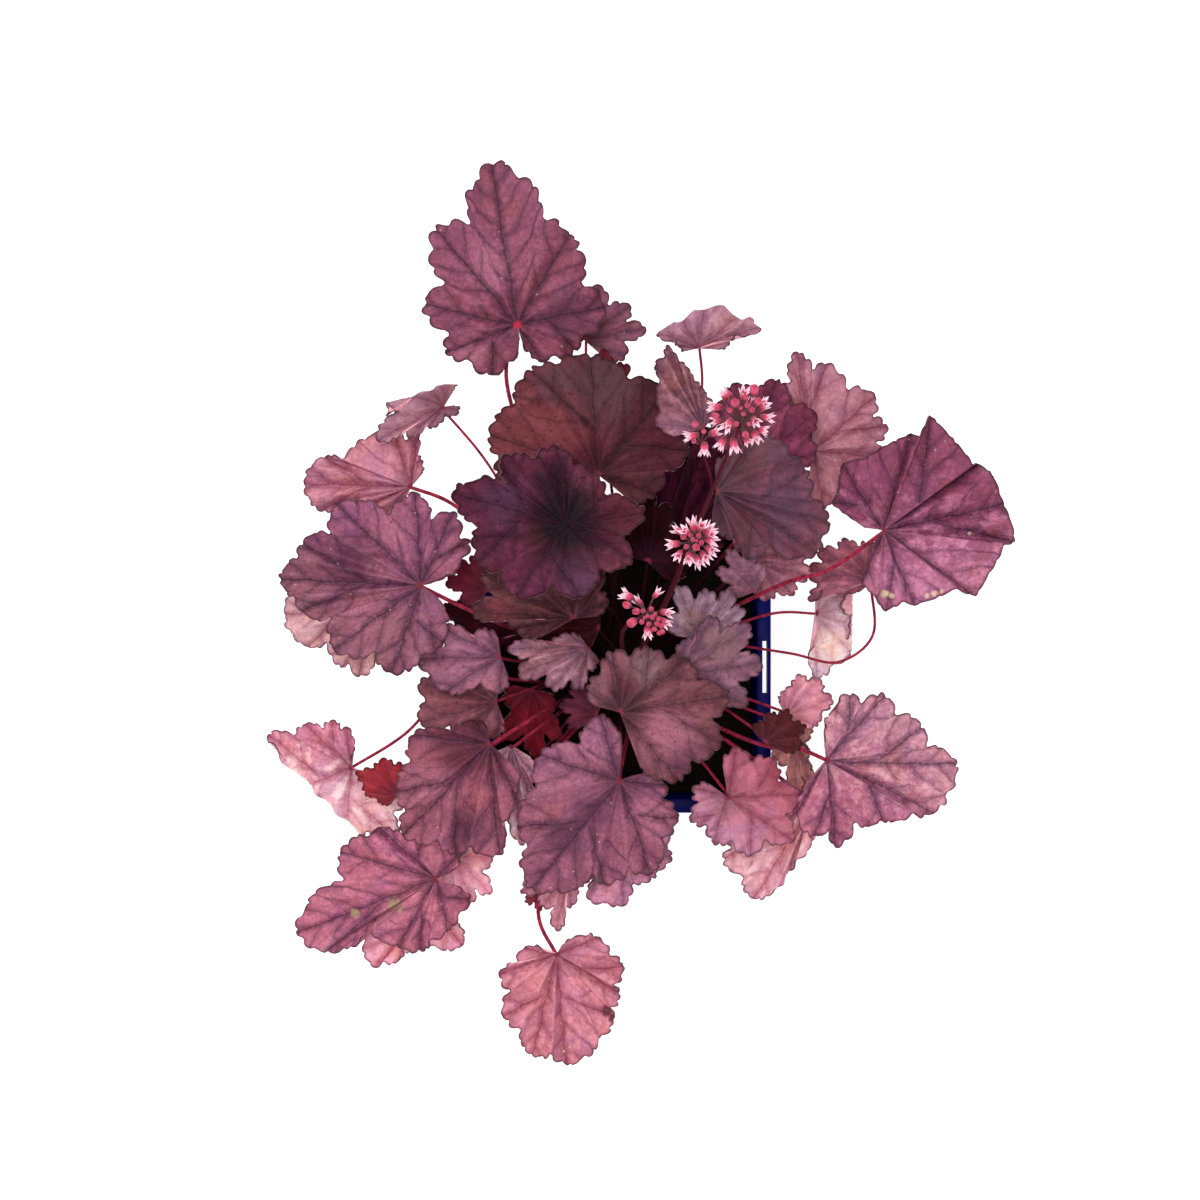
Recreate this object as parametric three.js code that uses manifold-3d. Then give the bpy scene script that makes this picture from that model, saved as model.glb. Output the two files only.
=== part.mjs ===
// A purple-leaved heuchera in its square nursery pot: the pot, its soil, fifty-one lobed leaves on their
// stalks and three short flower sprays. Millimetres, +Z up, origin at the middle of the pot's base.
import * as THREE from "three";
import { mergeVertices } from "three/addons/utils/BufferGeometryUtils.js";
import Module from "manifold-3d";

const wasm = await Module();
wasm.setup();

// ---- Driving dimensions, mm ----
const pot = {
  height: 115,
  rimHalf: 65, // half the width across the rim's skirt
  rimDepth: 9, // height of the turned-down skirt
  skirtWall: 1.4,
  lipHalf: 58.6, // half the width of the mouth inside the rim
  wall: 1.4,
  topHalf: 60, // outer half width just under the rim
  baseHalf: 44,
  cornerShare: 0.16, // corner radius as a share of the half width
  floor: 2,
  drainRadius: 5,
  drainAt: 26,
};
const tagSlot = { length: 23, width: 2.2, inset: 2.7 };
const soil = { top: 101, mound: 5, gap: 0.4, rings: 4 };
const stalk = { radius: 0.95, sides: 4, steps: 3 };
const scape = { radius: 1.1, sides: 5, steps: 5 };
const hole = { clearance: 0.35, sides: 4, rootDepth: 8, spare: 0.5 };
const blade = { thickness: 0.7, fineRings: [0.36, 0.7], rings: [0.55] };
const bell = { length: 6.5, waist: 1.35, mouth: 2.2, throat: 5, sides: 5 };
const bud = { length: 3.4, width: 1.35, sides: 4 };
const floretRoot = 1.4; // how deep a floret stands in the core of its head
const rootSpread = 25; // radius of the patch of soil that the stalks rise from
const foldRadius = 3; // of a blade's folded edge
const goldenAngle = Math.PI * (3 - Math.sqrt(5));

// ---- Finishes ----
const paint = (color, roughness) => new THREE.MeshStandardMaterial({ color, roughness, metalness: 0 });
const finish = {
  pot: paint(0x0b1070, 0.45),
  soil: paint(0x241712, 0.95),
  mauve: paint(0x8e5170, 0.55),
  dark: paint(0x4c2438, 0.5),
  bronze: paint(0x6a3c42, 0.55),
  grey: paint(0x836473, 0.6),
  pink: paint(0xc8899a, 0.6),
  red: paint(0x7d1c2a, 0.5),
  flower: paint(0xe58ba4, 0.6),
};

// ---- The leaves ----
// at: where the stalk meets the blade, with its height above the pot's rim. tips: the ends of the lobes as seen
// from above, counted from the stalk, turning left from the gap at the leaf's base, each with the cut or the place
// of the sinus after it where that isn't the leaf's own cut, which is how far out the sinuses lie. ends: the places
// of the first and the last sinus, beside the stalk, where they aren't the usual ones. lift slopes the
// blade along its heading, cup bends it up all round, wave ruffles its edge, round bulges its lobes. folds turn the
// blade down past a line: heading, distance from the stalk, angle in degrees. via: points that the stalk passes.
const leaves = [
  { at: [-46, 146, 45], tips: [[10, -15.5, 15, -13.5], [24, -11, 27, -5.5], [37, 8.5, 27.5, 17.5], [21.5, 39.5, 11.5, 45.5], [-12, 73, -20.5, 44], [-36, 43.5, -31, 18], [-40, 9.5, -29, -3.5], [-30, -11.5, -21, -15], [-10.5, -20.5]], ends: [[2.2, -5], [1, -6]], lift: -0.1, cup: -0.12, look: "mauve", via: [[-51, 124, 38], [-32, 70, 24]] },
  { at: [-18, 142, 28], tips: [[18, -7], [27, 6], [20, 16], [7, 25], [-10, 22], [-17, 4], [-12, -6]], lift: -0.3,
    cup: -0.1, look: "mauve", via: [[-17, 128, 26], [-12, 70, 14]] },
  { at: [31, 138, 30], tips: [[14, 4], [28, 10], [28, 22], [5, 34], [-14, 26], [-18, 7], [-8, 1]], lift: 0.1,
    cup: -0.1, folds: [[118, 11.2, 100], [68, 16.3, 100]], look: "pink", via: [[33, 122, 26], [24, 66, 12]] },
  { at: [-79, 114, 20], tips: [[3, 14], [-14, 20], [-26, 9], [-30, -14], [-15, -13], [-6, -9], [7, -2]],
    lift: -0.1, cup: -0.2, folds: [[100, 7, 115]], look: "pink", via: [[-62, 92, 16], [-36, 50, 12]] },
  { at: [-95, 80, 2], tips: [[4.5, 12], [3, 26], [-9, 27.5, -31, 12.5], [-40, 14, -44.5, 10], [-49, 2, -46, -5], [-42, -10, -35, -10], [-31, -13], [-13, -13]], lift: -0.1, cup: -0.06, round: 0.5, look: "pink", via: [[-76, 72, 7], [-45, 42, 10]] },
  { at: [-87, 36, 42], tips: [[20.5, 18.5, 16.5, 20], [13.5, 31, 4, 28], [-3, 39.5, -13.5, 30.5], [-37, 34.5, -39, 22], [-52.5, 18.5, -53.5, 12], [-62.5, 3, -55, -5], [-53, -11, -39, -13.5], [-38, -27.5, -19.5, -28.5], [-12.5, -37.5, 1, -29.5], [9, -24]], ends: [[5, 1.2], [7, -5]], lift: -0.12, cup: -0.08, wave: 0.05, look: "mauve",
    via: [[-68, 26, 36], [-44, 16, 31], [-27, 13, 13]] },
  { at: [-108, 28, -8], tips: [[8, 20], [-12, 22], [-34, 10, -43, 5], [-46.5, -5, -43.5, -13], [-36, -19, -27, -17.5], [-20, -28.5, -17, -27], [-12, -33, -3.5, -22], [10, -16]], lift: -0.2, cup: -0.1, look: "pink", teeth: false, via: [[-84, 18, 4], [-40, 8, 8]] },
  { at: [-12, 82, 58], tips: [[24, -8, 28, 1], [38, 10, 31, 20], [29, 35.5, 13, 40.5], [-3, 50.5, -17, 46.5], [-28, 44.5, -35, 29.5], [-45.5, 17.5, -41.5, 7.5], [-42, -1]], cut: 0.86,
    lift: -0.03, cup: -0.12, wave: 0.05, look: "bronze", teeth: true,
    via: [[-8, 50, 42], [-4, 26, 16]] },
  { at: [-11, 112, 38], tips: [[10, 6], [12, 18], [2, 24], [-9, 20], [-12, 7]], lift: 0.1, cup: 0.1,
    look: "red", via: [[-4, 60, 24]] },
  { at: [-25, 60, 76], tips: [[32, 5, 16, 12.5], [11, 22, 3, 25], [-3, 32, -13, 27], [-26, 27, -23, 17], [-45, 13, -35.5, 0], [-35, -15, -27, -19], [-20, -29], [6, -29], [27, -14]], cut: 0.84, lift: 0.05, cup: 0.24, wave: 0.05, look: "dark",
    via: [[-6, 53, 62], [-5, 36, 40], [-7, 18, 12]] },
  { at: [-22, 22, 60], tips: [[14, 7], [12, 22], [-3, 30], [-22, 29], [-38, 20], [-43, 3], [-24, -4]], cut: 0.84,
    lift: -0.08, cup: -0.08, look: "bronze", via: [[-14, 28, 54], [-4, 23, 34], [-2, 10, 8]] },
  { at: [-11, 18, 40], tips: [[-4, 12], [-19, 14], [-32, 5], [-28, -6], [-9, -9]], lift: -0.1, cup: 0.1,
    look: "grey" },
  { at: [-53, 6, 44], tips: [[-6, 11], [-26, 12], [-36, -1.5, -31, -8], [-24, -15], [0, -15]], lift: -0.15, cup: -0.15,
    look: "mauve", via: [[-49, 4, 34], [-30, 2, 16]] },
  { at: [-37, 18, 24], tips: [[-4, 14], [-23, 13], [-43, 9, -38, 2], [-36, -7], [-16, -8]], lift: -0.2, cup: -0.1,
    look: "dark" },
  { at: [-59, 34, 28], tips: [[4, 9], [-6, 16], [-16, 13], [-19, 4], [-11, -6]], lift: -0.1, look: "red",
    via: [[-58, 35, 12], [-32, 20, 7], [-20, 15, -2]] },
  { at: [-16, 10, 50], tips: [[-8, 5], [-34, -1], [-30, -12], [-16, -18], [-4, -18], [3, -8]], lift: -0.15,
    cup: -0.1, look: "grey" },
  { at: [-57, -30, 54], tips: [[-6, 9], [-33, 3, -34, -8], [-40, -22, -36.5, -29], [-38, -41, -23, -42], [-16, -48, -9, -44], [3, -48, 5, -34], [10, -22]],
    cut: 0.84, lift: -0.12, cup: -0.1, wave: 0.05, look: "mauve", teeth: true },
  { at: [-55, -14, 36], tips: [[-4, 14], [-24, 17], [-34.5, 8, -31.5, 1], [-34, -9], [-19, -17], [0, -15]], lift: -0.2,
    look: "grey" },
  { at: [-41, -9, 16], tips: [[-12, -2], [-11, -22], [2, -30], [12, -22], [10, -6]], lift: -0.15, cup: 0.1,
    look: "red" },
  { at: [-49, -32, 36], tips: [[-8, -8], [-6, -32], [4, -44], [12, -34], [9, -12]], lift: -0.15, look: "mauve",
    via: [[-40, -27, 32], [-24, -16, 14]] },
  { at: [-122, -45, -4], tips: [[-2.5, 18], [-9, 21], [-21, 19], [-38, 14], [-36, -14], [-22, -32], [-4, -35], [19, -31], [24, -15]], wave: 0.01, ends: [[0, 4], [7, -4]], cut: 0.88, lift: -0.1, cup: -0.04, folds: [[226, 19, 150]], look: "pink", teeth: false,
    via: [[-98, -30, 6], [-72, -6, 14], [-40, -6, 10]] },
  { at: [-100, -56, 12], tips: [[3, 14], [-5.5, 16.5], [-17.5, 10.5], [-14.5, 1.5], [-6, -4]], round: 0.6, cut: 0.92, lift: 0.3, look: "red",
    via: [[-66, -38, 14], [-34, -20, 8]] },
  { at: [-12, -19, 36], tips: [[0, 12], [-11, 13], [-16, 4], [-13, -5], [-3, -8]], lift: -0.15, look: "mauve" },
  { at: [-82, -91, 24], tips: [[11, 13.5], [-5, 18], [-25, 21.5, -29, 19], [-42, 11, -40.5, -0.5], [-62.5, -26, -53, -31.5], [-50, -34, -30, -21.5], [-17, -30, -13, -31], [-7.5, -32, -2.5, -26.5], [5, -22, 10, -15], [14.5, -9]], ends: [[7, 3.5], [5, -3]], cut: 0.86, lift: -0.1, cup: -0.06, look: "mauve" },
  { at: [-85, -105, 0], tips: [[-16, 6], [-32, -10, -31.5, -16], [-27.5, -30, -23.5, -27], [-17, -27, -14, -21], [-10.5, -23, -6, -17], [12, -19.5]], lift: -0.1,
    look: "pink", via: [[-57, -70, 4], [-28, -34, 5]] },
  { at: [-76, -82, 8], tips: [[-6, -15], [8, -23], [16, -19], [17, -3], [8, 8]], lift: -0.25, look: "pink" },
  { at: [-3, -16, 76], tips: [[24, -28, 29, -20], [41, -14, 38, -3], [45, 6, 32, 13], [28, 21, 19, 21.5], [12, 26, 4, 23], [-3, 25, -8, 16], [-13, 9]], cut: 0.84,
    lift: -0.06, cup: -0.1, wave: 0.05, look: "grey", teeth: true },
  { at: [31, 13, 48], tips: [[18, 3], [19, 13], [15, 22], [4, 21], [-9, 23], [-14, 8]], lift: -0.15,
    look: "grey" },
  { at: [22, -1, 64], tips: [[12, -14], [28, -13], [35, 4], [30, 20], [14, 24], [2, 14]], lift: -0.12,
    cup: -0.25, look: "grey" },
  { at: [-3, -45, 62], tips: [[-8, 27], [-33, 10, -35, -3], [-42, -20, -38.5, -27], [-37, -47, -11, -40], [-6, -45, 4, -37], [13, -40, 18, -24], [24, -16], [19.5, -2]], ends: [[1, 15], [6, 2]], cut: 0.82, lift: -0.1, cup: -0.1, wave: 0.05, look: "mauve" },
  { at: [-24, -83, 30], tips: [[-20, -2], [-21, -14], [-12, -20], [-6, -31], [0, -20], [8, -8]], lift: -0.2,
    look: "pink" },
  { at: [-39, -94, 18], tips: [[-3, -2], [-4, -9], [2, -12], [5, -6], [4, 1]], lift: -0.1, look: "red" },
  { at: [-3, -71, 36], tips: [[-14, -19], [-13.5, -28.5, -6, -30], [2.5, -31, 6, -21.5], [14, -19.5, 16.5, -16], [22.5, -10.5, 21, -5], [21, 2]], round: 0.6, lift: -0.2,
    look: "mauve" },
  { at: [-30, -125, 14], tips: [[-15, 1.8, -17.5, -4.5], [-25.5, -10, -20.5, -16.5], [-23.5, -28.5, -16, -33.5], [-11, -46.5, -2.5, -45], [4, -51, 19, -38], [25, -29, 23.5, -25], [27.5, -19, 25, -14.5], [29, -6, 23.5, -0.5], [17.5, 7]], ends: [[-5, 1], [2.5, 3.5]], cut: 0.86, lift: -0.1, cup: -0.06, look: "pink",
    via: [[-38, -107, 18], [-26, -60, 22]] },
  { at: [108, 59, 50], tips: [[-9, -22, -4, -28], [1, -34, 8.5, -30], [14, -31.5, 31, -24.5], [40.5, -27.5, 51.5, -6], [57.5, -4.5, 54.5, 4], [52.5, 11.5, 47, 23], [42, 29, 38.5, 28], [21.7, 49.5, 15.8, 40], [13, 41.5, -8, 30.5], [-17, 28.5, -19.5, 17], [-21.5, 11.5]], ends: [[-4, -5], [-8, 1.5]], cut: 0.86, lift: -0.08, cup: -0.08, round: 0.15, look: "mauve",
    via: [[84, 42, 50], [70, 38, 44], [34, 20, 18]] },
  { at: [107, 38, 30], tips: [[-2, 17], [-13, 18], [-23, 14], [-28, 5], [-27, -9, -22, -4], [-12, -3.5]], cut: 0.86, lift: -0.2,
    look: "dark", via: [[106, 14, 30], [92, 3, 26], [72, 6.5, 18]] },
  { at: [84.5, 24, 2], tips: [[1, -29, 8, -23.5], [16, -17.5, 20, -12], [26, -8], [30, 4], [24, 18], [2, 14]], wave: 0.01, ends: [[1.5, -8], [1.5, 6]], cut: 0.9, lift: -0.2,
    folds: [[0, 18, 110]], look: "pink", via: [[66, 24, 8], [36, 14, 8]] },
  { at: [79, 93, 42], tips: [[5, -24], [20, -16], [31, -2], [33, 11], [28, 24], [7, 38], [-6, 43], [-15, 26],
    [-12, 6]], cut: 0.86, lift: -0.12, cup: -0.08, look: "pink" },
  { at: [52, 85, 52], tips: [[18, -6], [28, 6], [28, 24], [12, 38], [-6, 36, -11, 30], [-15, 23]], cut: 0.88, lift: -0.1,
    look: "dark" },
  { at: [32, 101, 60], tips: [[4, 11], [-1, 17.5], [-7, 25.5], [-15.3, 34.5], [-20, 28], [-19.5, 14], [-20, 2]], round: 0.5, cut: 0.94,
    lift: -0.1, cup: 0.15, look: "grey" },
  { at: [37, 75, 62], tips: [[4, -19], [14, -28, 22, -23], [43, -25.5, 45, -19], [48.5, -12, 40, -2], [38, 9, 31, 15], [20, 23], [5, 15]], cut: 0.84,
    lift: -0.12, cup: -0.1, wave: 0.05, look: "dark", teeth: true },
  { at: [52, 47, 36], tips: [[9, -17], [20, -14.5], [27.5, -7], [27, 5], [10, 10]], cut: 0.88, lift: -0.1, look: "bronze" },
  { at: [53, 33, 54], tips: [[4, 12], [-2, 20], [-10, 18], [-15, 9], [-8, 0]], lift: -0.1, look: "grey",
    via: [[49, 33, 38], [24, 16, 8]] },
  { at: [86, -39, 32], tips: [[-11, -20, -12, -26], [-5, -33, 2, -29.5], [5, -38, 12, -27], [25, -26, 38, -23], [48, -23.5, 53, -15], [58.5, -3, 44, 5.5], [43, 13.5, 30, 19.5], [26, 27.5, 15, 24.5], [10, 28.5]], ends: [[-5.5, -7.5], [-0.8, 7]], cut: 0.84, lift: -0.1, cup: -0.08, wave: 0.04, look: "mauve",
    via: [[74, -34, 32], [60, -33, 27], [30, -20, 10]] },
  { at: [70, -21, 16], tips: [[14, -3.5], [20.5, 7.5], [14.5, 16.5], [6, 18.5], [-1, 11]], round: 0.6, cut: 0.92, lift: 0.1, cup: 0.1,
    look: "pink" },
  { at: [59, -31, 38], tips: [[16, -2], [18, 7], [10, 14], [3, 13], [-4, 8]], round: 0.6, cut: 0.88, lift: -0.1, look: "dark",
    via: [[50, -22, 32], [26, -8, 10]] },
  { at: [74, -24, 14], tips: [[-8, -16], [2, -34], [8, -28], [6.5, -14, 4.5, -9.5], [7.5, -1.5]], lift: -0.2, look: "bronze" },
  { at: [44, -55, 28], tips: [[-15, 4], [-16, -10], [-6, -20], [10, -26], [29, -20], [32, 0], [20, 16],
    [4, 21]], cut: 0.84, lift: -0.12, cup: -0.08, look: "pink" },
  { at: [85, -60, -8], tips: [[-28, -6], [-39, -19, -37, -22], [-40, -28, -32, -35], [-26, -46, -16.5, -41], [-13, -35, -8, -28], [-1, -19]], ends: [[-18, 0], [1, -8]], cut: 0.94, lift: -0.12,
    look: "pink", via: [[66, -47, 2.5], [34, -25, 4]] },
  { at: [9, 46, 45], tips: [[15, -7], [13, 9], [9, 24], [0, 30], [-10, 26], [-12, 8]], cut: 0.86, lift: -0.05,
    cup: 0.1, look: "dark" },
  { at: [20, 52, 1], tips: [[24, 4], [32, 22], [29, 48, 19, 51], [10, 55], [-10, 42], [-18, 24], [-12, 6]], cut: 0.86, lift: 0.2,
    look: "dark" },
];

// ---- The flower sprays ----
// heads: middle of each head with its height above the pot's rim, half width and half height of its core, and how
// many open bells and buds stand on it. The first head ends the stem and a second one has a branch of its own.
const sprays = [
  { heads: [
    { at: [41, 93, 160], core: [5.2, 8], bells: 15, buds: 7 },
    { at: [26, 87, 150], core: [2.2, 3], bells: 4, buds: 1 },
  ], via: [[28, 62, 118], [17, 31, 60]] },
  { heads: [{ at: [24, 51, 146], core: [3.8, 6], bells: 11, buds: 4 }], via: [[15, 26, 60], [1, -3, 14]] },
  { heads: [{ at: [7, 25, 120], core: [4.4, 6], bells: 6, buds: 8 }], via: [[-2, 15, 60], [3, -7, 14]] },
];

const lookDefaults = { lift: -0.1, cup: -0.08, wave: 0.03, pleat: 0.05, cut: 0.78, round: 1, folds: [] };

// ---- Small helpers ----
const degrees = Math.PI / 180;
const mix = (a, b, t) => a + (b - a) * t;
const mixPoint = (a, b, t) => a.map((value, i) => mix(value, b[i], t));
const plain = (geometry) => {
  const bare = geometry.clone();
  for (const name of Object.keys(bare.attributes)) if (name !== "position") bare.deleteAttribute(name);
  return mergeVertices(bare, 1e-4);
};

function geometryOf(points, triangles) {
  const geometry = new THREE.BufferGeometry();
  geometry.setAttribute("position", new THREE.Float32BufferAttribute(points.flat(), 3));
  geometry.setIndex(triangles.flat());
  return geometry;
}

function solid(geometry) {
  const merged = plain(geometry);
  return new wasm.Manifold(
    new wasm.Mesh({
      numProp: 3,
      vertProperties: merged.attributes.position.array,
      triVerts: new Uint32Array(merged.index.array),
    }),
  );
}

function meshOf(name, manifold, material) {
  const made = manifold.getMesh();
  const geometry = new THREE.BufferGeometry();
  geometry.setAttribute("position", new THREE.BufferAttribute(made.vertProperties, made.numProp));
  geometry.setIndex(new THREE.BufferAttribute(made.triVerts, 1));
  const mesh = new THREE.Mesh(geometry, material);
  mesh.name = name;
  return mesh;
}

// A rod with few sides and a step at each of the points.
function rod(points, radius, sides) {
  const path = new THREE.CatmullRomCurve3(points.map((p) => new THREE.Vector3(...p)), false, "centripetal");
  path.getSpacedPoints = (steps) => path.getPoints(steps);
  path.getTangentAt = (share, target) => path.getTangent(share, target);
  const steps = points.length - 1;
  const section = new THREE.Shape();
  for (let i = 0; i < sides; i++) {
    const turn = (2 * Math.PI * i) / sides;
    section[i ? "lineTo" : "moveTo"](radius * Math.cos(turn), radius * Math.sin(turn));
  }
  section.closePath();
  return solid(new THREE.ExtrudeGeometry(section, { steps, extrudePath: path, curveSegments: 1 }));
}

// ---- Leaf outline and surface ----
// The rim of a leaf round its stalk. Between two lobes lies a sinus, on the line to the middle of their tips, and
// each flank from a tip to a sinus bulges out and carries a side tooth. phase is 0 on a lobe's vein, 1 in a sinus.
function leafEdge(leaf) {
  const { tips, cut, teeth } = leaf;
  const last = tips.length - 1;
  const turned = ([x, y], angle, size) => [
    size * (x * Math.cos(angle) - y * Math.sin(angle)),
    size * (x * Math.sin(angle) + y * Math.cos(angle)),
  ];
  const sinuses = [leaf.ends ? leaf.ends[0] : turned(tips[0], -0.35, 0.66)];
  for (let i = 0; i < last; i++) {
    const share = (tips[i][2] ?? cut) / 2;
    const between = [share * (tips[i][0] + tips[i + 1][0]), share * (tips[i][1] + tips[i + 1][1])];
    sinuses.push(tips[i].length > 3 ? tips[i].slice(2) : between);
  }
  sinuses.push(leaf.ends ? leaf.ends[1] : turned(tips[last], 0.35, 0.66));
  const onFlank = (tip, sinus, share, bulge, side) => [
    mix(tip[0], sinus[0], share) + side * bulge * (tip[1] - sinus[1]),
    mix(tip[1], sinus[1], share) - side * bulge * (tip[0] - sinus[0]),
    share,
  ];
  const flank = (tip, sinus, side) =>
    teeth
      ? [onFlank(tip, sinus, 0.3, 0.12 * leaf.round, side), onFlank(tip, sinus, 0.62, 0.18 * leaf.round, side)]
      : [onFlank(tip, sinus, 0.5, 0.18 * leaf.round, side)];
  const edge = [];
  tips.forEach(([x, y], i) => {
    edge.push([...sinuses[i], 1], ...flank([x, y], sinuses[i], 1).reverse());
    edge.push([x, y, 0], ...flank([x, y], sinuses[i + 1], -1));
  });
  edge.push([...sinuses[last + 1], 1]);
  return edge;
}

// Height of the blade over its stalk joint, at x, y from the joint in plan.
function bladeHeight(leaf, [x, y, phase], share) {
  const { heading, length } = leaf;
  const along = (x * Math.cos(heading) + y * Math.sin(heading)) / length;
  const across = (y * Math.cos(heading) - x * Math.sin(heading)) / length;
  const out = Math.hypot(along, across);
  const rise =
    leaf.lift * along +
    leaf.cup * out * out -
    leaf.pleat * out * Math.cos(Math.PI * phase) +
    leaf.wave * share ** 3 * Math.sin(3 * Math.atan2(y, x) + leaf.at[0]);
  return rise * length;
}

// Rolls what lies past each fold line down round a small radius.
function folded(folds, point) {
  let [x, y, z] = point;
  for (const [heading, distance, angle] of folds) {
    const [nx, ny] = [Math.cos(heading * degrees), Math.sin(heading * degrees)];
    const past = x * nx + y * ny - distance;
    if (past <= 0) continue;
    const turn = Math.min(past / foldRadius, angle * degrees);
    const rest = past - turn * foldRadius;
    const out = foldRadius * Math.sin(turn) + rest * Math.cos(turn) + z * Math.sin(turn);
    z = z * Math.cos(turn) - foldRadius * (1 - Math.cos(turn)) - rest * Math.sin(turn);
    x += nx * (out - past);
    y += ny * (out - past);
  }
  return [x, y, z];
}

// The middle surface of a blade: rings of points at shares of the way out to the rim, split into triangles.
function leafBlade(leaf) {
  const edge = leafEdge(leaf);
  const place = ([x, y, phase], share) => {
    const [px, py] = [x * share, y * share];
    const bent = folded(leaf.folds, [px, py, bladeHeight(leaf, [px, py, phase], share)]);
    return [leaf.at[0] + bent[0], leaf.at[1] + bent[1], pot.height + leaf.at[2] + bent[2]];
  };
  const points = [place(edge[0], 0)];
  const perHalf = leaf.teeth ? 3 : 2;
  const columns = edge.filter((point, i) => i % perHalf === 0);
  const ringStart = leaf.rings.map((share) => {
    const start = points.length;
    for (const point of columns) points.push(place(point, share));
    return start;
  });
  const edgeStart = points.length;
  for (const point of edge) points.push(place(point, 1));
  const triangles = [];
  const lastRing = ringStart[ringStart.length - 1];
  for (let j = 0; j + 1 < columns.length; j++) {
    triangles.push([0, ringStart[0] + j, ringStart[0] + j + 1]);
    for (let k = 1; k < ringStart.length; k++) {
      const [a, b] = [ringStart[k - 1] + j, ringStart[k] + j];
      if (j % 2) triangles.push([a, b, a + 1], [a + 1, b, b + 1]);
      else triangles.push([a, b, b + 1], [a, b + 1, a + 1]);
    }
    const [a, o] = [lastRing + j, edgeStart + perHalf * j];
    const split = j % 2 ? o + perHalf - 1 : o + 1;
    for (let e = o; e < o + perHalf; e++) triangles.push([e < split ? a : a + 1, e, e + 1]);
    triangles.push([a, split, a + 1]);
  }
  const rim = [0, ...ringStart];
  for (let i = edgeStart; i < points.length; i++) rim.push(i);
  for (const start of [...ringStart].reverse()) rim.push(start + columns.length - 1);
  const joint = place([leaf.length * Math.cos(leaf.heading), leaf.length * Math.sin(leaf.heading), 0], 1.8 / leaf.length);
  return { points, triangles, rim, joint };
}

// Gives a surface a thickness: both faces share one set of triangles, and a wall joins their rims.
function thickened({ points, triangles, rim }, thickness) {
  const middle = geometryOf(points, triangles);
  middle.computeVertexNormals();
  const normal = middle.attributes.normal;
  const shifted = (side) =>
    points.map(([x, y, z], i) => [
      x + side * normal.getX(i),
      y + side * normal.getY(i),
      z + side * normal.getZ(i),
    ]);
  const n = points.length;
  const faces = [...triangles, ...triangles.map(([a, b, c]) => [a + n, c + n, b + n])];
  rim.forEach((a, i) => {
    const b = rim[(i + 1) % rim.length];
    faces.push([a, a + n, b + n], [a, b + n, b]);
  });
  return geometryOf([...shifted(thickness / 2), ...shifted(-thickness / 2)], faces);
}

// Where the stalks leave the soil: a spiral patch of even spacing. The flattest stalk chooses first, and each
// takes the free place that lies farthest out on its own side.
function rootPlaces(goals) {
  const free = goals.map((goal, k) => {
    const radius = rootSpread * Math.sqrt((k + 0.5) / goals.length);
    return [radius * Math.cos(k * goldenAngle), radius * Math.sin(k * goldenAngle)];
  });
  const flatness = goals.map(([x, y, z]) => Math.hypot(x, y) / (z + pot.height - soil.top));
  const order = goals.map((goal, i) => i).sort((a, b) => flatness[b] - flatness[a]);
  const places = [];
  for (const i of order) {
    const turn = Math.atan2(goals[i][1], goals[i][0]);
    const score = ([x, y]) =>
      x * Math.cos(turn) + y * Math.sin(turn) - 1.2 * Math.abs(y * Math.cos(turn) - x * Math.sin(turn));
    free.sort((a, b) => score(b) - score(a));
    places[i] = free.shift();
  }
  return places;
}

// A stem stands upright in its hole, then bends over through its waypoints to its end.
function stemPoints(root, waypoints, steps) {
  const ground = soil.top + soil.mound + 1;
  const bend = [[root[0], root[1], ground], ...waypoints].map((p) => new THREE.Vector3(...p));
  const smooth = new THREE.CatmullRomCurve3(bend, false, "centripetal");
  return [
    [root[0], root[1], soil.top + soil.mound * 0.5 - hole.rootDepth],
    ...smooth.getSpacedPoints(steps).map((p) => p.toArray()),
  ];
}

const overRim = ([x, y, z]) => [x, y, pot.height + z];

function leafNode(leafRow, index, root) {
  const { tips } = leafRow;
  const rings = leafRow.folds ? blade.fineRings : blade.rings;
  const leaf = { ...lookDefaults, teeth: tips.length > 7, rings, ...leafRow };
  const [sumX, sumY] = tips.reduce(([a, b], [x, y]) => [a + x, b + y], [0, 0]);
  leaf.heading = Math.atan2(sumY, sumX);
  leaf.length = Math.max(...tips.map(([x, y]) => Math.hypot(x, y)));
  const surface = leafBlade(leaf);
  const flat = solid(thickened(surface, blade.thickness));
  const joint = [...surface.joint];
  const elbow = [mix(root[0], joint[0], 0.35), mix(root[1], joint[1], 0.35), mix(soil.top, joint[2], 0.58)];
  const via = leaf.via ? [...leaf.via].reverse().map(overRim) : [elbow];
  // The end sits in the blade from below, so a flat stalk ends lower than a steep one.
  const run = new THREE.Vector3(...joint).sub(new THREE.Vector3(...via[via.length - 1])).normalize();
  joint[2] += 0.1 - stalk.radius * Math.hypot(run.x, run.y);
  const stem = rod(stemPoints(root, [...via, joint], stalk.steps + 2 * (via.length - 1)), stalk.radius, stalk.sides);
  const name = "leaf_" + String(index + 1).padStart(2, "0");
  return meshOf(name, flat.add(stem), finish[leaf.look]);
}

// ---- Flowers ----
// A turned shape with few sides: profile of radius and height, standing at a place and pointing along a direction.
function turnedShape(profile, sides, place, direction) {
  const shape = new THREE.LatheGeometry(profile.map(([r, h]) => new THREE.Vector2(r, h)), sides);
  const up = new THREE.Vector3(0, 1, 0);
  shape.applyQuaternion(new THREE.Quaternion().setFromUnitVectors(up, direction));
  shape.translate(place.x, place.y, place.z);
  return solid(shape);
}

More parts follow.
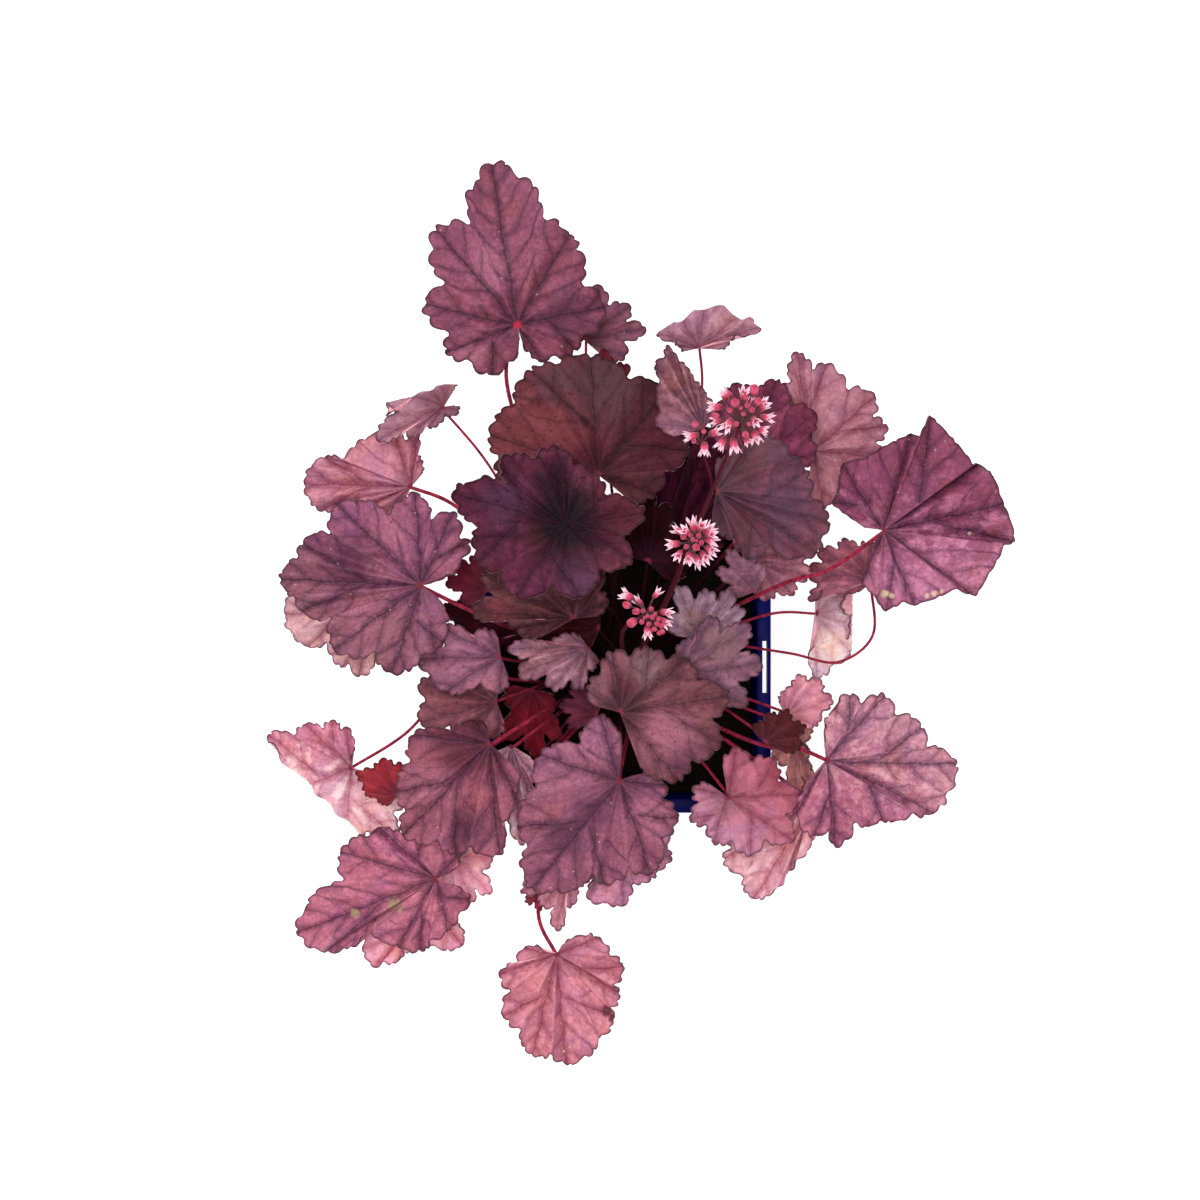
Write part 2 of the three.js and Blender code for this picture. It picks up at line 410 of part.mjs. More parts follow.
// Florets spiral up round a core: the open bells below, level or hanging a little, the buds on top, upright.
function headParts({ at, core, bells, buds }) {
  const middle = new THREE.Vector3(...overRim(at));
  const [coreWidth, coreHeight] = core;
  const heart = new THREE.IcosahedronGeometry(1, 0);
  heart.scale(coreWidth, coreWidth, coreHeight);
  heart.translate(middle.x, middle.y, middle.z);
  const parts = [solid(heart)];
  const count = bells + buds;
  for (let i = 0; i < count; i++) {
    const turn = i * goldenAngle;
    const slant = Math.PI * mix(0.6, 0.04, ((i + 0.5) / count) ** 0.9);
    const flat = Math.sin(slant);
    const direction = new THREE.Vector3(flat * Math.cos(turn), flat * Math.sin(turn), Math.cos(slant));
    const reach = 1 / Math.hypot(flat / coreWidth, Math.cos(slant) / coreHeight);
    const place = middle.clone().addScaledVector(direction, 0.85 * reach - floretRoot);
    const length = 1 + 0.08 * Math.sin(5 * i);
    const bellProfile = [
      [0, 0],
      [bell.waist, 0.4 * bell.length],
      [bell.mouth, (bell.length + floretRoot) * length],
      [0, (bell.throat + floretRoot) * length],
    ];
    const budProfile = [[0, 0], [bud.width, 0.55 * bud.length], [0, (bud.length + floretRoot) * length]];
    if (i < bells) parts.push(turnedShape(bellProfile, bell.sides, place, direction));
    else parts.push(turnedShape(budProfile, bud.sides, place, direction));
  }
  return parts;
}

// Hollows sealed by the joining are filled, and nothing loose is kept.
function largestBody(manifold) {
  return manifold.decompose().sort((a, b) => b.volume() - a.volume())[0];
}

function sprayNode(spray, index, root) {
  const way = [...spray.via].reverse().map(overRim);
  const top = overRim(spray.heads[0].at);
  const parts = [rod(stemPoints(root, [...way, top], scape.steps), scape.radius, scape.sides)];
  for (const head of spray.heads) parts.push(...headParts(head));
  for (const head of spray.heads.slice(1)) {
    const fork = way[way.length - 1];
    parts.push(rod([mixPoint(fork, top, 0.15), mixPoint(fork, top, 0.3), overRim(head.at)], 0.7, 4));
  }
  return meshOf("flowers_" + (index + 1), largestBody(wasm.Manifold.union(parts)), finish.flower);
}

// ---- Pot ----
// One level of the square pot: a closed ring of points with round corners.
function squareRing(half, z, segments = 3) {
  const corner = half * pot.cornerShare;
  const points = [];
  for (let quarter = 0; quarter < 4; quarter++) {
    const middle = (quarter + 0.5) * (Math.PI / 2);
    const cx = Math.sign(Math.cos(middle)) * (half - corner);
    const cy = Math.sign(Math.sin(middle)) * (half - corner);
    for (let i = 0; i <= segments; i++) {
      const turn = quarter * (Math.PI / 2) + (i / segments) * (Math.PI / 2);
      points.push([cx + corner * Math.cos(turn), cy + corner * Math.sin(turn), z]);
    }
  }
  return points;
}

// Skins a stack of rings with the same number of points and closes both ends with a fan round their middles.
function skinned(rings, endHeights = [0, 0]) {
  const n = rings[0].length;
  const points = rings.flat();
  const faces = [];
  for (let k = 0; k + 1 < rings.length; k++)
    for (let i = 0; i < n; i++) {
      const [a, b] = [k * n + i, k * n + ((i + 1) % n)];
      faces.push([a, b, b + n], [a, b + n, a + n]);
    }
  const first = points.length;
  points.push([0, 0, rings[0][0][2] + endHeights[0]], [0, 0, rings.at(-1)[0][2] + endHeights[1]]);
  const top = (rings.length - 1) * n;
  for (let i = 0; i < n; i++) {
    faces.push([first, (i + 1) % n, i]);
    faces.push([first + 1, top + i, top + ((i + 1) % n)]);
  }
  return geometryOf(points, faces);
}

function potBody() {
  const { height, rimHalf, rimDepth, skirtWall, lipHalf, wall, topHalf, baseHalf, floor } = pot;
  const shell = solid(
    skinned([
      squareRing(baseHalf, 0),
      squareRing(topHalf, height - rimDepth),
      squareRing(topHalf, height - wall),
      squareRing(rimHalf - skirtWall, height - wall),
      squareRing(rimHalf - skirtWall, height - rimDepth),
      squareRing(rimHalf, height - rimDepth),
      squareRing(rimHalf, height),
      squareRing(lipHalf, height),
      squareRing(lipHalf, height - rimDepth),
      squareRing(baseHalf - wall, floor),
    ]),
  );
  let body = shell;
  for (const side of [-1, 1]) {
    const slot = new THREE.BoxGeometry(tagSlot.width, tagSlot.length, 4 * wall);
    slot.translate(side * (rimHalf - tagSlot.inset), 0, height);
    body = body.subtract(solid(slot));
  }
  for (const [x, y] of [[1, 1], [-1, 1], [-1, -1], [1, -1]]) {
    const drain = new THREE.CylinderGeometry(pot.drainRadius, pot.drainRadius, 4 * floor, 8);
    drain.rotateX(Math.PI / 2);
    drain.translate(x * pot.drainAt, y * pot.drainAt, floor / 2);
    body = body.subtract(solid(drain));
  }
  return body;
}

// ---- Soil ----
function soilBody(stems) {
  const { lipHalf, baseHalf, wall, floor, rimDepth, height } = pot;
  const insideHalf = (z) => mix(baseHalf - wall, lipHalf, (z - floor) / (height - rimDepth - floor)) - soil.gap;
  const bottom = floor + soil.gap;
  const rings = [squareRing(insideHalf(bottom), bottom), squareRing(insideHalf(soil.top), soil.top)];
  for (let k = 1; k < soil.rings; k++) {
    const share = 1 - k / soil.rings;
    const level = soil.top + soil.mound * (1 - share * share);
    rings.push(
      squareRing(insideHalf(soil.top) * share, level).map(([x, y, z]) => [
        x,
        y,
        z + 0.9 * Math.sin(0.31 * x + 1) * Math.cos(0.27 * y),
      ]),
    );
  }
  let body = solid(skinned(rings, [0, 0.6]));
  const depth = soil.top + soil.mound * 0.5 - hole.rootDepth - hole.spare;
  for (const { root: [x, y], radius } of stems) {
    const around = (radius + hole.clearance) / Math.cos(Math.PI / hole.sides);
    const opening = new THREE.CylinderGeometry(around, around, 30, hole.sides);
    opening.rotateX(Math.PI / 2);
    opening.translate(x, y, depth + 15);
    body = body.subtract(solid(opening));
  }
  return body;
}

// ---- The plant, put together ----
const plant = new THREE.Group();
const roots = rootPlaces([...leaves.map((leaf) => leaf.at), ...sprays.map((spray) => spray.via[0])]);
const stems = roots.map((root, i) => ({ root, radius: i < leaves.length ? stalk.radius : scape.radius }));
plant.add(meshOf("pot", potBody(), finish.pot));
plant.add(meshOf("soil", soilBody(stems), finish.soil));
leaves.forEach((leaf, i) => plant.add(leafNode(leaf, i, roots[i])));
sprays.forEach((spray, i) => plant.add(sprayNode(spray, i, roots[leaves.length + i])));

export default plant;
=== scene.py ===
# A purple-leaved heuchera in its square nursery pot, seen from straight above. Shapes are worked out in
# millimetres, +Z up from the middle of the pot's base, and go into their meshes in metres.
import bpy
import numpy as np
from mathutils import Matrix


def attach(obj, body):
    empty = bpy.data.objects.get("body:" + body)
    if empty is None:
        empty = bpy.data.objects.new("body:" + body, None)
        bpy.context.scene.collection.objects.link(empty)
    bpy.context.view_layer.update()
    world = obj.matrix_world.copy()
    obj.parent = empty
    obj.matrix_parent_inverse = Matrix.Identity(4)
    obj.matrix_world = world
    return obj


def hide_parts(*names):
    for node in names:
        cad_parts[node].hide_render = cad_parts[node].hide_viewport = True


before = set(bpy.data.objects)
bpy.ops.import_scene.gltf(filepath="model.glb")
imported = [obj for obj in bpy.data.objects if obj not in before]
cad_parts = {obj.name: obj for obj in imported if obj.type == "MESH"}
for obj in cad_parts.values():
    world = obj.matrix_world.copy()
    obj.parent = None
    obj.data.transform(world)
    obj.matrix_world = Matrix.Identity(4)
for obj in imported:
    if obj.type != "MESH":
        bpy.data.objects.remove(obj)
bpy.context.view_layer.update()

mm = 0.001
degree = np.pi / 180
goldenTurn = np.pi * (3 - np.sqrt(5))


def say(text):
    print("heuchera:", text)


def unit(v):
    # The same directions with a length of 1.
    return v / np.maximum(np.linalg.norm(v, axis=-1, keepdims=True), 1e-9)


def mix(a, b, t):
    return a + (b - a) * t


def onCircle(angle):
    # The point of the unit circle at an angle, or one for each of many.
    return np.stack([np.cos(angle), np.sin(angle)], -1)


def noiseAt(points, size, seed):
    # Smooth value noise, -1 to 1: random numbers on a cubic lattice, blended with 3t^2 - 2t^3 between its nodes.
    table = np.random.default_rng(seed).uniform(-1, 1, 4096)
    cell = np.floor(points / size).astype(int)
    t = points / size - cell
    t = t * t * (3 - 2 * t)
    total = 0
    for corner in np.ndindex(2, 2, 2):
        at = cell + corner
        key = (at[..., 0] * 73 + at[..., 1] * 179 + at[..., 2] * 283) % 4096
        weight = np.prod(np.where(np.array(corner) == 1, t, 1 - t), axis=-1)
        total = total + weight * table[key]
    return total


def gridQuads(rows, columns, closed=False):
    # Quads of a grid of points, row after row; a closed grid joins its last column to its first.
    i, j = np.meshgrid(np.arange(rows - 1), np.arange(columns if closed else columns - 1), indexing="ij")
    k = (j + 1) % columns
    quads = np.stack([i * columns + j, (i + 1) * columns + j, (i + 1) * columns + k, i * columns + k], -1)
    return quads.reshape(-1, 4)


def closedSkin(rows, sides, turned=False):
    # The faces of a stack of closed rings with a fan to a pole at each end; the poles are the last two points.
    # turned is for rings that run the other way round.
    j = np.arange(sides)
    k = (j + 1) % sides
    pole = rows * sides
    start = np.stack([np.full(sides, pole), j, k], 1)
    end = np.stack([np.full(sides, pole + 1), pole - sides + k, pole - sides + j], 1)
    faces = [gridQuads(rows, sides, closed=True), np.vstack([start, end])]
    return [part[:, ::-1] for part in faces] if turned else faces


def makeMesh(name, points, faces, maps=None, slots=None, values=None, sharp=50):
    # faces is a list of whole-number arrays, n x 3 or n x 4; maps and slots have an entry for each of them.
    mesh = bpy.data.meshes.new(name)
    sizes = np.concatenate([np.full(len(part), part.shape[1]) for part in faces])
    corners = np.concatenate([part.ravel() for part in faces]).astype(np.int32)
    mesh.vertices.add(len(points))
    mesh.vertices.foreach_set("co", (np.asarray(points) * mm).ravel())
    mesh.loops.add(len(corners))
    mesh.loops.foreach_set("vertex_index", corners)
    mesh.polygons.add(len(sizes))
    mesh.polygons.foreach_set("loop_start", (np.cumsum(sizes) - sizes).astype(np.int32))
    if slots is not None:
        index = np.concatenate([np.full(len(part), slot) for part, slot in zip(faces, slots)])
        mesh.polygons.foreach_set("material_index", index.astype(np.int32))
    mesh.update(calc_edges=True)
    for title, parts in (maps or {}).items():
        layer = mesh.uv_layers.new(name=title)
        layer.data.foreach_set("uv", np.concatenate([part.reshape(-1) for part in parts]).astype(np.float32))
    for title, numbers in (values or {}).items():
        layer = mesh.attributes.new(title, "FLOAT", "POINT")
        layer.data.foreach_set("value", np.asarray(numbers, np.float32))
    mesh.shade_smooth()
    mesh.set_sharp_from_angle(angle=sharp * degree)
    return mesh


def linked(name, data):
    made = bpy.data.objects.new(name, data)
    bpy.context.scene.collection.objects.link(made)
    return made


def addPiece(name, mesh, finishes, node):
    # Each piece takes the place of one CAD node and rides on the only body.
    piece = linked(name, mesh)
    for finish in finishes:
        mesh.materials.append(finish)
    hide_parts(node)
    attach(piece, "root")


def smoothPath(points, perSpan):
    # Centripetal Catmull-Rom curve: each span is a cubic whose end slopes come from the points around it,
    # with the square root of the distance between points as its measure of time.
    p = np.asarray(points, float)
    p = np.vstack([2 * p[0] - p[1], p, 2 * p[-1] - p[-2]])
    gap = np.sqrt(np.linalg.norm(np.diff(p, axis=0), axis=1))[:, None]
    a, b, c, d = p[:-3], p[1:-2], p[2:-1], p[3:]
    before, here, after = gap[:-2], gap[1:-1], gap[2:]
    leave = ((b - a) / before - (c - a) / (before + here) + (c - b) / here) * here
    reach = ((c - b) / here - (d - b) / (here + after) + (d - c) / after) * here
    t = (np.arange(perSpan) / perSpan)[:, None, None]
    spans = b + leave * t + (3 * (c - b) - 2 * leave - reach) * t**2 + (2 * (b - c) + leave + reach) * t**3
    return np.vstack([spans.transpose(1, 0, 2).reshape(-1, 3), p[-2:-1]])


def evenly(path, steps):
    # The same path with its points spaced evenly along it.
    run = np.concatenate([[0], np.cumsum(np.linalg.norm(np.diff(path, axis=0), axis=1))])
    at = np.linspace(0, run[-1], steps)
    return np.stack([np.interp(at, run, path[:, k]) for k in range(3)], 1)


def tube(path, radius, sides):
    # Point = path + radius * (cos turn * side + sin turn * up), closed with a pole at each end.
    run = unit(np.gradient(path, axis=0))
    bow = path[-1] - path[0]
    level = unit(np.array([-bow[1], bow[0] + 1e-6, 0]))
    side = unit(np.cross(run, level))
    up = np.cross(side, run)
    turn = np.arange(sides) * 2 * np.pi / sides
    ring = np.cos(turn)[:, None] * side[:, None] + np.sin(turn)[:, None] * up[:, None]
    points = path[:, None] + np.broadcast_to(radius, len(path))[:, None, None] * ring
    return np.vstack([points.reshape(-1, 3), path[:1], path[-1:]]), closedSkin(len(path), sides)


def joined(parts):
    # Puts several (points, faces) shapes into one.
    points, faces, start = [], [], 0
    for shape, sets in parts:
        points.append(shape)
        faces += [one + start for one in sets]
        start += len(shape)
    return np.vstack(points), faces


def tint(red, green, blue):
    # A colour given in screen values, 0 to 255, as the linear colour that a shader takes.
    c = np.array([red, green, blue]) / 255
    c = np.where(c <= 0.04045, c / 12.92, ((c + 0.055) / 1.055) ** 2.4)
    return (*c.tolist(), 1)


class Nodes:
    # Short ways to add nodes to one tree; a value is a number, a colour or another node's output.
    def __init__(self, tree):
        self.tree = tree

    def plug(self, socket, value):
        if isinstance(value, bpy.types.NodeSocket):
            self.tree.links.new(value, socket)
        elif value is not None:
            socket.default_value = value

    def add(self, kind, named=None, **settings):
        node = self.tree.nodes.new(kind)
        for key, value in settings.items():
            setattr(node, key, value)
        for key, value in (named or {}).items():
            self.plug(node.inputs[key], value)
        return node

    def math(self, operation, *values):
        return self.add("ShaderNodeMath", dict(enumerate(values)), operation=operation).outputs[0]

    def times(self, a, b):
        return self.math("MULTIPLY", a, b)

    def plus(self, a, b):
        return self.math("ADD", a, b)

    def less(self, a, b):
        return self.math("SUBTRACT", a, b)

    def vector(self, operation, a, b):
        # The distance is the node's second output.
        made = self.add("ShaderNodeVectorMath", {0: a, 1: b}, operation=operation)
        return made.outputs[1 if operation == "DISTANCE" else 0]

    def stored(self, name):
        return self.add("ShaderNodeAttribute", attribute_name=name).outputs["Fac"]

    def split(self, value):
        return self.add("ShaderNodeSeparateXYZ", {0: value}).outputs

    def step(self, value, low, high, start=0.0, end=1.0):
        # Goes smoothly from start to end as the value passes from low to high.
        named = {"Value": value, "From Min": low, "From Max": high, "To Min": start, "To Max": end}
        return self.add("ShaderNodeMapRange", named, interpolation_type="SMOOTHSTEP").outputs[0]

    def blend(self, share, a, b):
        return self.add("ShaderNodeMix", {0: share, 6: a, 7: b}, data_type="RGBA").outputs[2]

    def noise(self, place, scale, detail=2.0, rough=0.5):
        named = {"Vector": place, "Scale": scale, "Detail": detail, "Roughness": rough}
        return self.add("ShaderNodeTexNoise", named).outputs["Fac"]

    def object(self):
        return self.add("ShaderNodeTexCoord").outputs["Object"]

    def bump(self, height, distance, strength=1.0):
        named = {"Height": height, "Distance": distance, "Strength": strength}
        return self.add("ShaderNodeBump", named).outputs[0]


def dress(nodes, shader, colour, rough, height, depth, strength=1.0, shine=0.5):
    # rough is a mask, the low and high that it passes, and the roughness at each; depth is in millimetres.
    nodes.plug(shader["Base Color"], colour)
    shader["Specular IOR Level"].default_value = shine
    nodes.plug(shader["Roughness"], nodes.step(*rough))
    nodes.plug(shader["Normal"], nodes.bump(height, depth * mm, strength))


def newMaterial(name):
    material = bpy.data.materials.new(name)
    material.use_nodes = True
    material.node_tree.nodes.clear()
    nodes = Nodes(material.node_tree)
    shader = nodes.add("ShaderNodeBsdfPrincipled")
    out = nodes.add("ShaderNodeOutputMaterial")
    nodes.plug(out.inputs["Surface"], shader.outputs[0])
    return material, nodes, shader.inputs


# Each row is one leaf, in millimetres. at: where the stalk meets the blade, x, y and height over the pot's rim.
# tips: the ends of the lobes as seen from above, counted from the stalk, turning left from the gap at the leaf's
# base; a third number is the cut of the sinus after that lobe, a third and a fourth are the place of that sinus.
# ends: the places where the rim starts and ends beside the gap. via: points that the stalk passes. lift slopes the
# blade along its heading, cup bends it up all round, wave ruffles it, cut is how far out the sinuses lie. folds:
# lines past which the blade rolls under, as heading, distance and angle. minor: the lobes whose vein branches off a
# neighbour's. tooth and bite: width and depth of the teeth; teeth: whether a lobe has shoulders; round: how far its
# flanks bulge. tone is the blade's main colour; to is a second one with the heading that it lies towards. The dark
# middle round the stalk has its colour, its strength and its reach; it is partly the leaf's own dark heart and
# partly painted shade where the blade sinks round its stalk. joint is the colour where the stalk comes through.
# clouds are large soft patches, some in the leaf's own tones and some painted shade, and spots are small clear
# stains, both as x, y, radius and colour. calm weakens veins and pleats, and shine is the gloss.
leaves = [
    dict(at=(-46, 146, 45), look="mauve", tone=(113, 51, 71), to=(120, 129, 66, 88),
         via=[(-51, 124, 38), (-32, 70, 24)],
         tips=[(10, -15.5, 15, -13.5), (24, -11, 27, -5.5), (37, 8.5, 27.5, 17.5), (21.5, 39.5, 11.5, 45.5),
               (-12, 73, -20.5, 44), (-36, 43.5, -31, 18), (-40, 9.5, -29, -3.5), (-30, -11.5, -21, -15),
               (-10.5, -20.5)],
         cup=-0.12, minor=(1, 8), ends=((2.2, -5), (1, -6)), tooth=8.5, joint=(176, 24, 60),
         clouds=[(-58, 172, 11, "rose"), (-66, 134, 8, "rose"), (-26, 150, 10, "dusk")]),
    dict(at=(-18, 142, 28), look="mauve", tone=(123, 68, 87), via=[(-17, 128, 26), (-12, 70, 14)],
         tips=[(18, -7), (27, 6), (20, 16), (7, 25), (-10, 22), (-17, 4), (-12, -6)], lift=-0.3, cup=-0.1),
    dict(at=(31, 138, 30), look="pink", tone=(152, 102, 119), to=(0, 165, 112, 127),
         via=[(33, 122, 26), (24, 66, 12)],
         tips=[(14, 4), (28, 10), (28, 22), (5, 34), (-14, 26), (-18, 7), (-8, 1)],
         folds=[(118, 11.2, 100), (68, 16.3, 100)], lift=0.1, cup=-0.1),
    dict(at=(-79, 114, 20), look="pink", tone=(157, 106, 121), via=[(-62, 92, 16), (-36, 50, 12)],
         tips=[(3, 14), (-14, 20), (-26, 9), (-30, -14), (-15, -13), (-6, -9), (7, -2)],
         folds=[(100, 7, 115)], cup=-0.2),
    dict(at=(-95, 80, 2), look="pink", tone=(187, 119, 136), via=[(-76, 72, 7), (-45, 42, 10)],
         tips=[(4.5, 12), (3, 26), (-9, 27.5, -31, 12.5), (-40, 14, -44.5, 10), (-49, 2, -46, -5),
               (-42, -10, -35, -10), (-31, -13), (-13, -13)], cup=-0.06, minor=(0, 3, 5), round=0.5),
    dict(at=(-87, 36, 42), look="mauve", tone=(140, 76, 103), to=(250, 134, 78, 95),
         via=[(-68, 26, 36), (-44, 16, 31), (-27, 13, 13)],
         tips=[(20.5, 18.5, 16.5, 20), (13.5, 31, 4, 28), (-3, 39.5, -13.5, 30.5), (-37, 34.5, -39, 22),
               (-52.5, 18.5, -53.5, 12), (-62.5, 3, -55, -5), (-53, -11, -39, -13.5), (-38, -27.5, -19.5, -28.5),
               (-12.5, -37.5, 1, -29.5), (9, -24)],
         lift=-0.12, wave=0.05, minor=(0, 4, 6, 9), ends=((5, 1.2), (7, -5)),
         clouds=[(-118, 46, 11, "dusk"), (-100, 60, 8, "rose"), (-112, 22, 9, "rose")]),
    dict(at=(-108, 28, -8), look="pink", tone=(208, 156, 162), via=[(-84, 18, 4), (-40, 8, 8)],
         tips=[(8, 20), (-12, 22), (-34, 10, -43, 5), (-46.5, -5, -43.5, -13), (-36, -19, -27, -17.5),
               (-20, -28.5, -17, -27), (-12, -33, -3.5, -22), (10, -16)],
         lift=-0.2, cup=-0.1, minor=(1, 4, 6), teeth=False),
    dict(at=(-12, 82, 58), look="bronze", tone=(102, 45, 53), to=(10, 68, 29, 38), via=[(-8, 50, 42), (-4, 26, 16)],
         tips=[(24, -8, 28, 1), (38, 10, 31, 20), (29, 35.5, 13, 40.5), (-3, 50.5, -17, 46.5),
               (-28, 44.5, -35, 29.5), (-45.5, 17.5, -41.5, 7.5), (-42, -1)],
         lift=-0.03, cup=-0.12, wave=0.05, cut=0.86, minor=(1, 4), teeth=True, shine=0.12, core=0.6,
         heart=(44, 12, 20), heartSize=16, clouds=[(-40, 96, 14, "russet"), (-10, 120, 14, "slate"),
         (-16, 90, 9, "maroonShade"), (14, 96, 13, "maroonShade"), (-30, 122, 9, "slate")]),
    dict(at=(-11, 112, 38), look="red", tone=(100, 22, 38), via=[(-4, 60, 24)],
         tips=[(10, 6), (12, 18), (2, 24), (-9, 20), (-12, 7)], lift=0.1, cup=0.1, shine=0.1),
    # leaf_10: its near-black heart, joint and near-black clouds are painted shade in the deep funnel round its stalk.
    dict(at=(-25, 60, 76), look="dark", tone=(80, 30, 50), to=(0, 88, 37, 53),
         via=[(-6, 53, 62), (-5, 36, 40), (-7, 18, 12)],
         tips=[(32, 5, 16, 12.5), (11, 22, 3, 25), (-3, 32, -13, 27), (-26, 27, -23, 17), (-45, 13, -35.5, 0),
               (-35, -15, -27, -19), (-20, -29), (6, -29), (27, -14)],
         lift=0.05, cup=0.24, wave=0.05, cut=0.84, minor=(1, 3, 5, 7), shine=0.12, core=0.96, heart=(15, 3, 9),
         heartSize=26, joint=(14, 2, 8), clouds=[(-27, 66, 11, "funnelShade"), (-30, 79, 8, "funnelShade"), (-50, 70, 10, "plum"),
         (-20, 38, 10, "plum"), (-4, 62, 10, "maroonShade")]),
    dict(at=(-22, 22, 60), look="bronze", tone=(74, 33, 42), to=(190, 88, 46, 51),
         via=[(-14, 28, 54), (-4, 23, 34), (-2, 10, 8)],
         tips=[(14, 7), (12, 22), (-3, 30), (-22, 29), (-38, 20), (-43, 3), (-24, -4)],
         lift=-0.08, cut=0.84, minor=(1, 3), shine=0.12, clouds=[(-40, 38, 9, "ash"), (-52, 26, 7, "russet")]),
    dict(at=(-11, 18, 40), look="grey", tone=(61, 19, 21),
         tips=[(-4, 12), (-19, 14), (-32, 5), (-28, -6), (-9, -9)], cup=0.1, shine=0.03),
    dict(at=(-53, 6, 44), look="mauve", tone=(142, 84, 104), via=[(-49, 4, 34), (-30, 2, 16)],
         tips=[(-6, 11), (-26, 12), (-36, -1.5, -31, -8), (-24, -15), (0, -15)], lift=-0.15, cup=-0.15),
    dict(at=(-37, 18, 24), look="dark", tone=(48, 9, 20),
         tips=[(-4, 14), (-23, 13), (-43, 9, -38, 2), (-36, -7), (-16, -8)], lift=-0.2, cup=-0.1, shine=0.03),
    dict(at=(-59, 34, 28), look="red", tone=(97, 22, 42), via=[(-58, 35, 12), (-32, 20, 7), (-20, 15, -2)],
         tips=[(4, 9), (-6, 16), (-16, 13), (-19, 4), (-11, -6)], shine=0.1),
    dict(at=(-16, 10, 50), look="grey", tone=(147, 95, 110),
         tips=[(-8, 5), (-34, -1), (-30, -12), (-16, -18), (-4, -18), (3, -8)], lift=-0.15, cup=-0.1),
    # leaf_17: the dark second tone towards its top and the dark maroon clouds there are painted shadow of the leaves
    # over it.
    dict(at=(-57, -30, 54), look="mauve", tone=(146, 78, 96), to=(70, 96, 36, 52),
         tips=[(-6, 9), (-33, 3, -34, -8), (-40, -22, -36.5, -29), (-38, -41, -23, -42), (-16, -48, -9, -44),
               (3, -48, 5, -34), (10, -22)],
         lift=-0.12, cup=-0.1, wave=0.05, cut=0.84, minor=(2, 4), teeth=True, clouds=[(-67, -31, 15, "maroonShade"),
         (-58, -24, 9, "maroonShade"), (-84, -50, 10, "rose"), (-66, -66, 9, "dusk")]),
    dict(at=(-55, -14, 36), look="grey", tone=(119, 63, 74),
         tips=[(-4, 14), (-24, 17), (-34.5, 8, -31.5, 1), (-34, -9), (-19, -17), (0, -15)], lift=-0.2),
    dict(at=(-41, -9, 16), look="red", tone=(106, 12, 32),
         tips=[(-12, -2), (-11, -22), (2, -30), (12, -22), (10, -6)], lift=-0.15, cup=0.1, shine=0.1),
    # leaf_20: its nearly white tone is partly painted light, raised to make up for the shade in which it lies.
    dict(at=(-49, -32, 36), look="mauve", tone=(255, 184, 198), via=[(-40, -27, 32), (-24, -16, 14)],
         tips=[(-8, -8), (-6, -32), (4, -44), (12, -34), (9, -12)], lift=-0.15),
    dict(at=(-122, -45, -4), look="pink", tone=(203, 124, 146), to=(260, 240, 178, 184),
         via=[(-98, -30, 6), (-72, -6, 14), (-40, -6, 10)],
         tips=[(-2.5, 18), (-9, 21), (-21, 19), (-38, 14), (-36, -14), (-22, -32), (-4, -35), (19, -31),
               (24, -15)],
         folds=[(226, 19, 150)], cup=-0.04, wave=0.01, cut=0.88, minor=(1, 3, 5, 7), ends=((0, 4), (7, -4)),
         teeth=False),
    dict(at=(-100, -56, 12), look="red", tone=(148, 37, 49), via=[(-66, -38, 14), (-34, -20, 8)],
         tips=[(3, 14), (-5.5, 16.5), (-17.5, 10.5), (-14.5, 1.5), (-6, -4)], lift=0.3, cut=0.92, round=0.6),
    dict(at=(-12, -19, 36), look="mauve", tone=(101, 35, 58),
         tips=[(0, 12), (-11, 13), (-16, 4), (-13, -5), (-3, -8)], lift=-0.15, shine=0.1),
    dict(at=(-82, -91, 24), look="mauve", tone=(165, 87, 107), to=(200, 174, 96, 119),
         tips=[(11, 13.5), (-5, 18), (-25, 21.5, -29, 19), (-42, 11, -40.5, -0.5), (-62.5, -26, -53, -31.5),
               (-50, -34, -30, -21.5), (-17, -30, -13, -31), (-7.5, -32, -2.5, -26.5), (5, -22, 10, -15), (14.5, -9)],
         cup=-0.06, cut=0.86, minor=(1, 5, 7, 9), ends=((7, 3.5), (5, -3)),
         spots=[(-100, -103, 4.2, "blemish"), (-118, -107, 2.6, "blemish")]),
    dict(at=(-85, -105, 0), look="pink", tone=(242, 153, 170), via=[(-57, -70, 4), (-28, -34, 5)],
         tips=[(-16, 6), (-32, -10, -31.5, -16), (-27.5, -30, -23.5, -27), (-17, -27, -14, -21),
               (-10.5, -23, -6, -17), (12, -19.5)]),
    dict(at=(-76, -82, 8), look="pink", tone=(242, 160, 173),
         tips=[(-6, -15), (8, -23), (16, -19), (17, -3), (8, 8)], lift=-0.25),
    dict(at=(-3, -16, 76), look="grey", tone=(119, 69, 80), to=(350, 101, 52, 62),
         tips=[(24, -28, 29, -20), (41, -14, 38, -3), (45, 6, 32, 13), (28, 21, 19, 21.5), (12, 26, 4, 23),
               (-3, 25, -8, 16), (-13, 9)],
         lift=-0.06, cup=-0.1, wave=0.05, cut=0.84, minor=(1, 4), teeth=True, core=0.75, heart=(50, 22, 33),
         heartSize=15, clouds=[(18, -26, 13, "rose"), (24, -36, 7, "dusk"), (0, -6, 8, "maroonShade"), (8, 2, 8, "ash")]),
    dict(at=(31, 13, 48), look="grey", tone=(140, 101, 118),
         tips=[(18, 3), (19, 13), (15, 22), (4, 21), (-9, 23), (-14, 8)],
         lift=-0.15, calm=0.8, core=0.6, heart=(56, 26, 40)),
    dict(at=(22, -1, 64), look="grey", tone=(121, 75, 93),
         tips=[(12, -14), (28, -13), (35, 4), (30, 20), (14, 24), (2, 14)],
         lift=-0.12, cup=-0.25, calm=0.8, core=0.6, heart=(56, 26, 40),
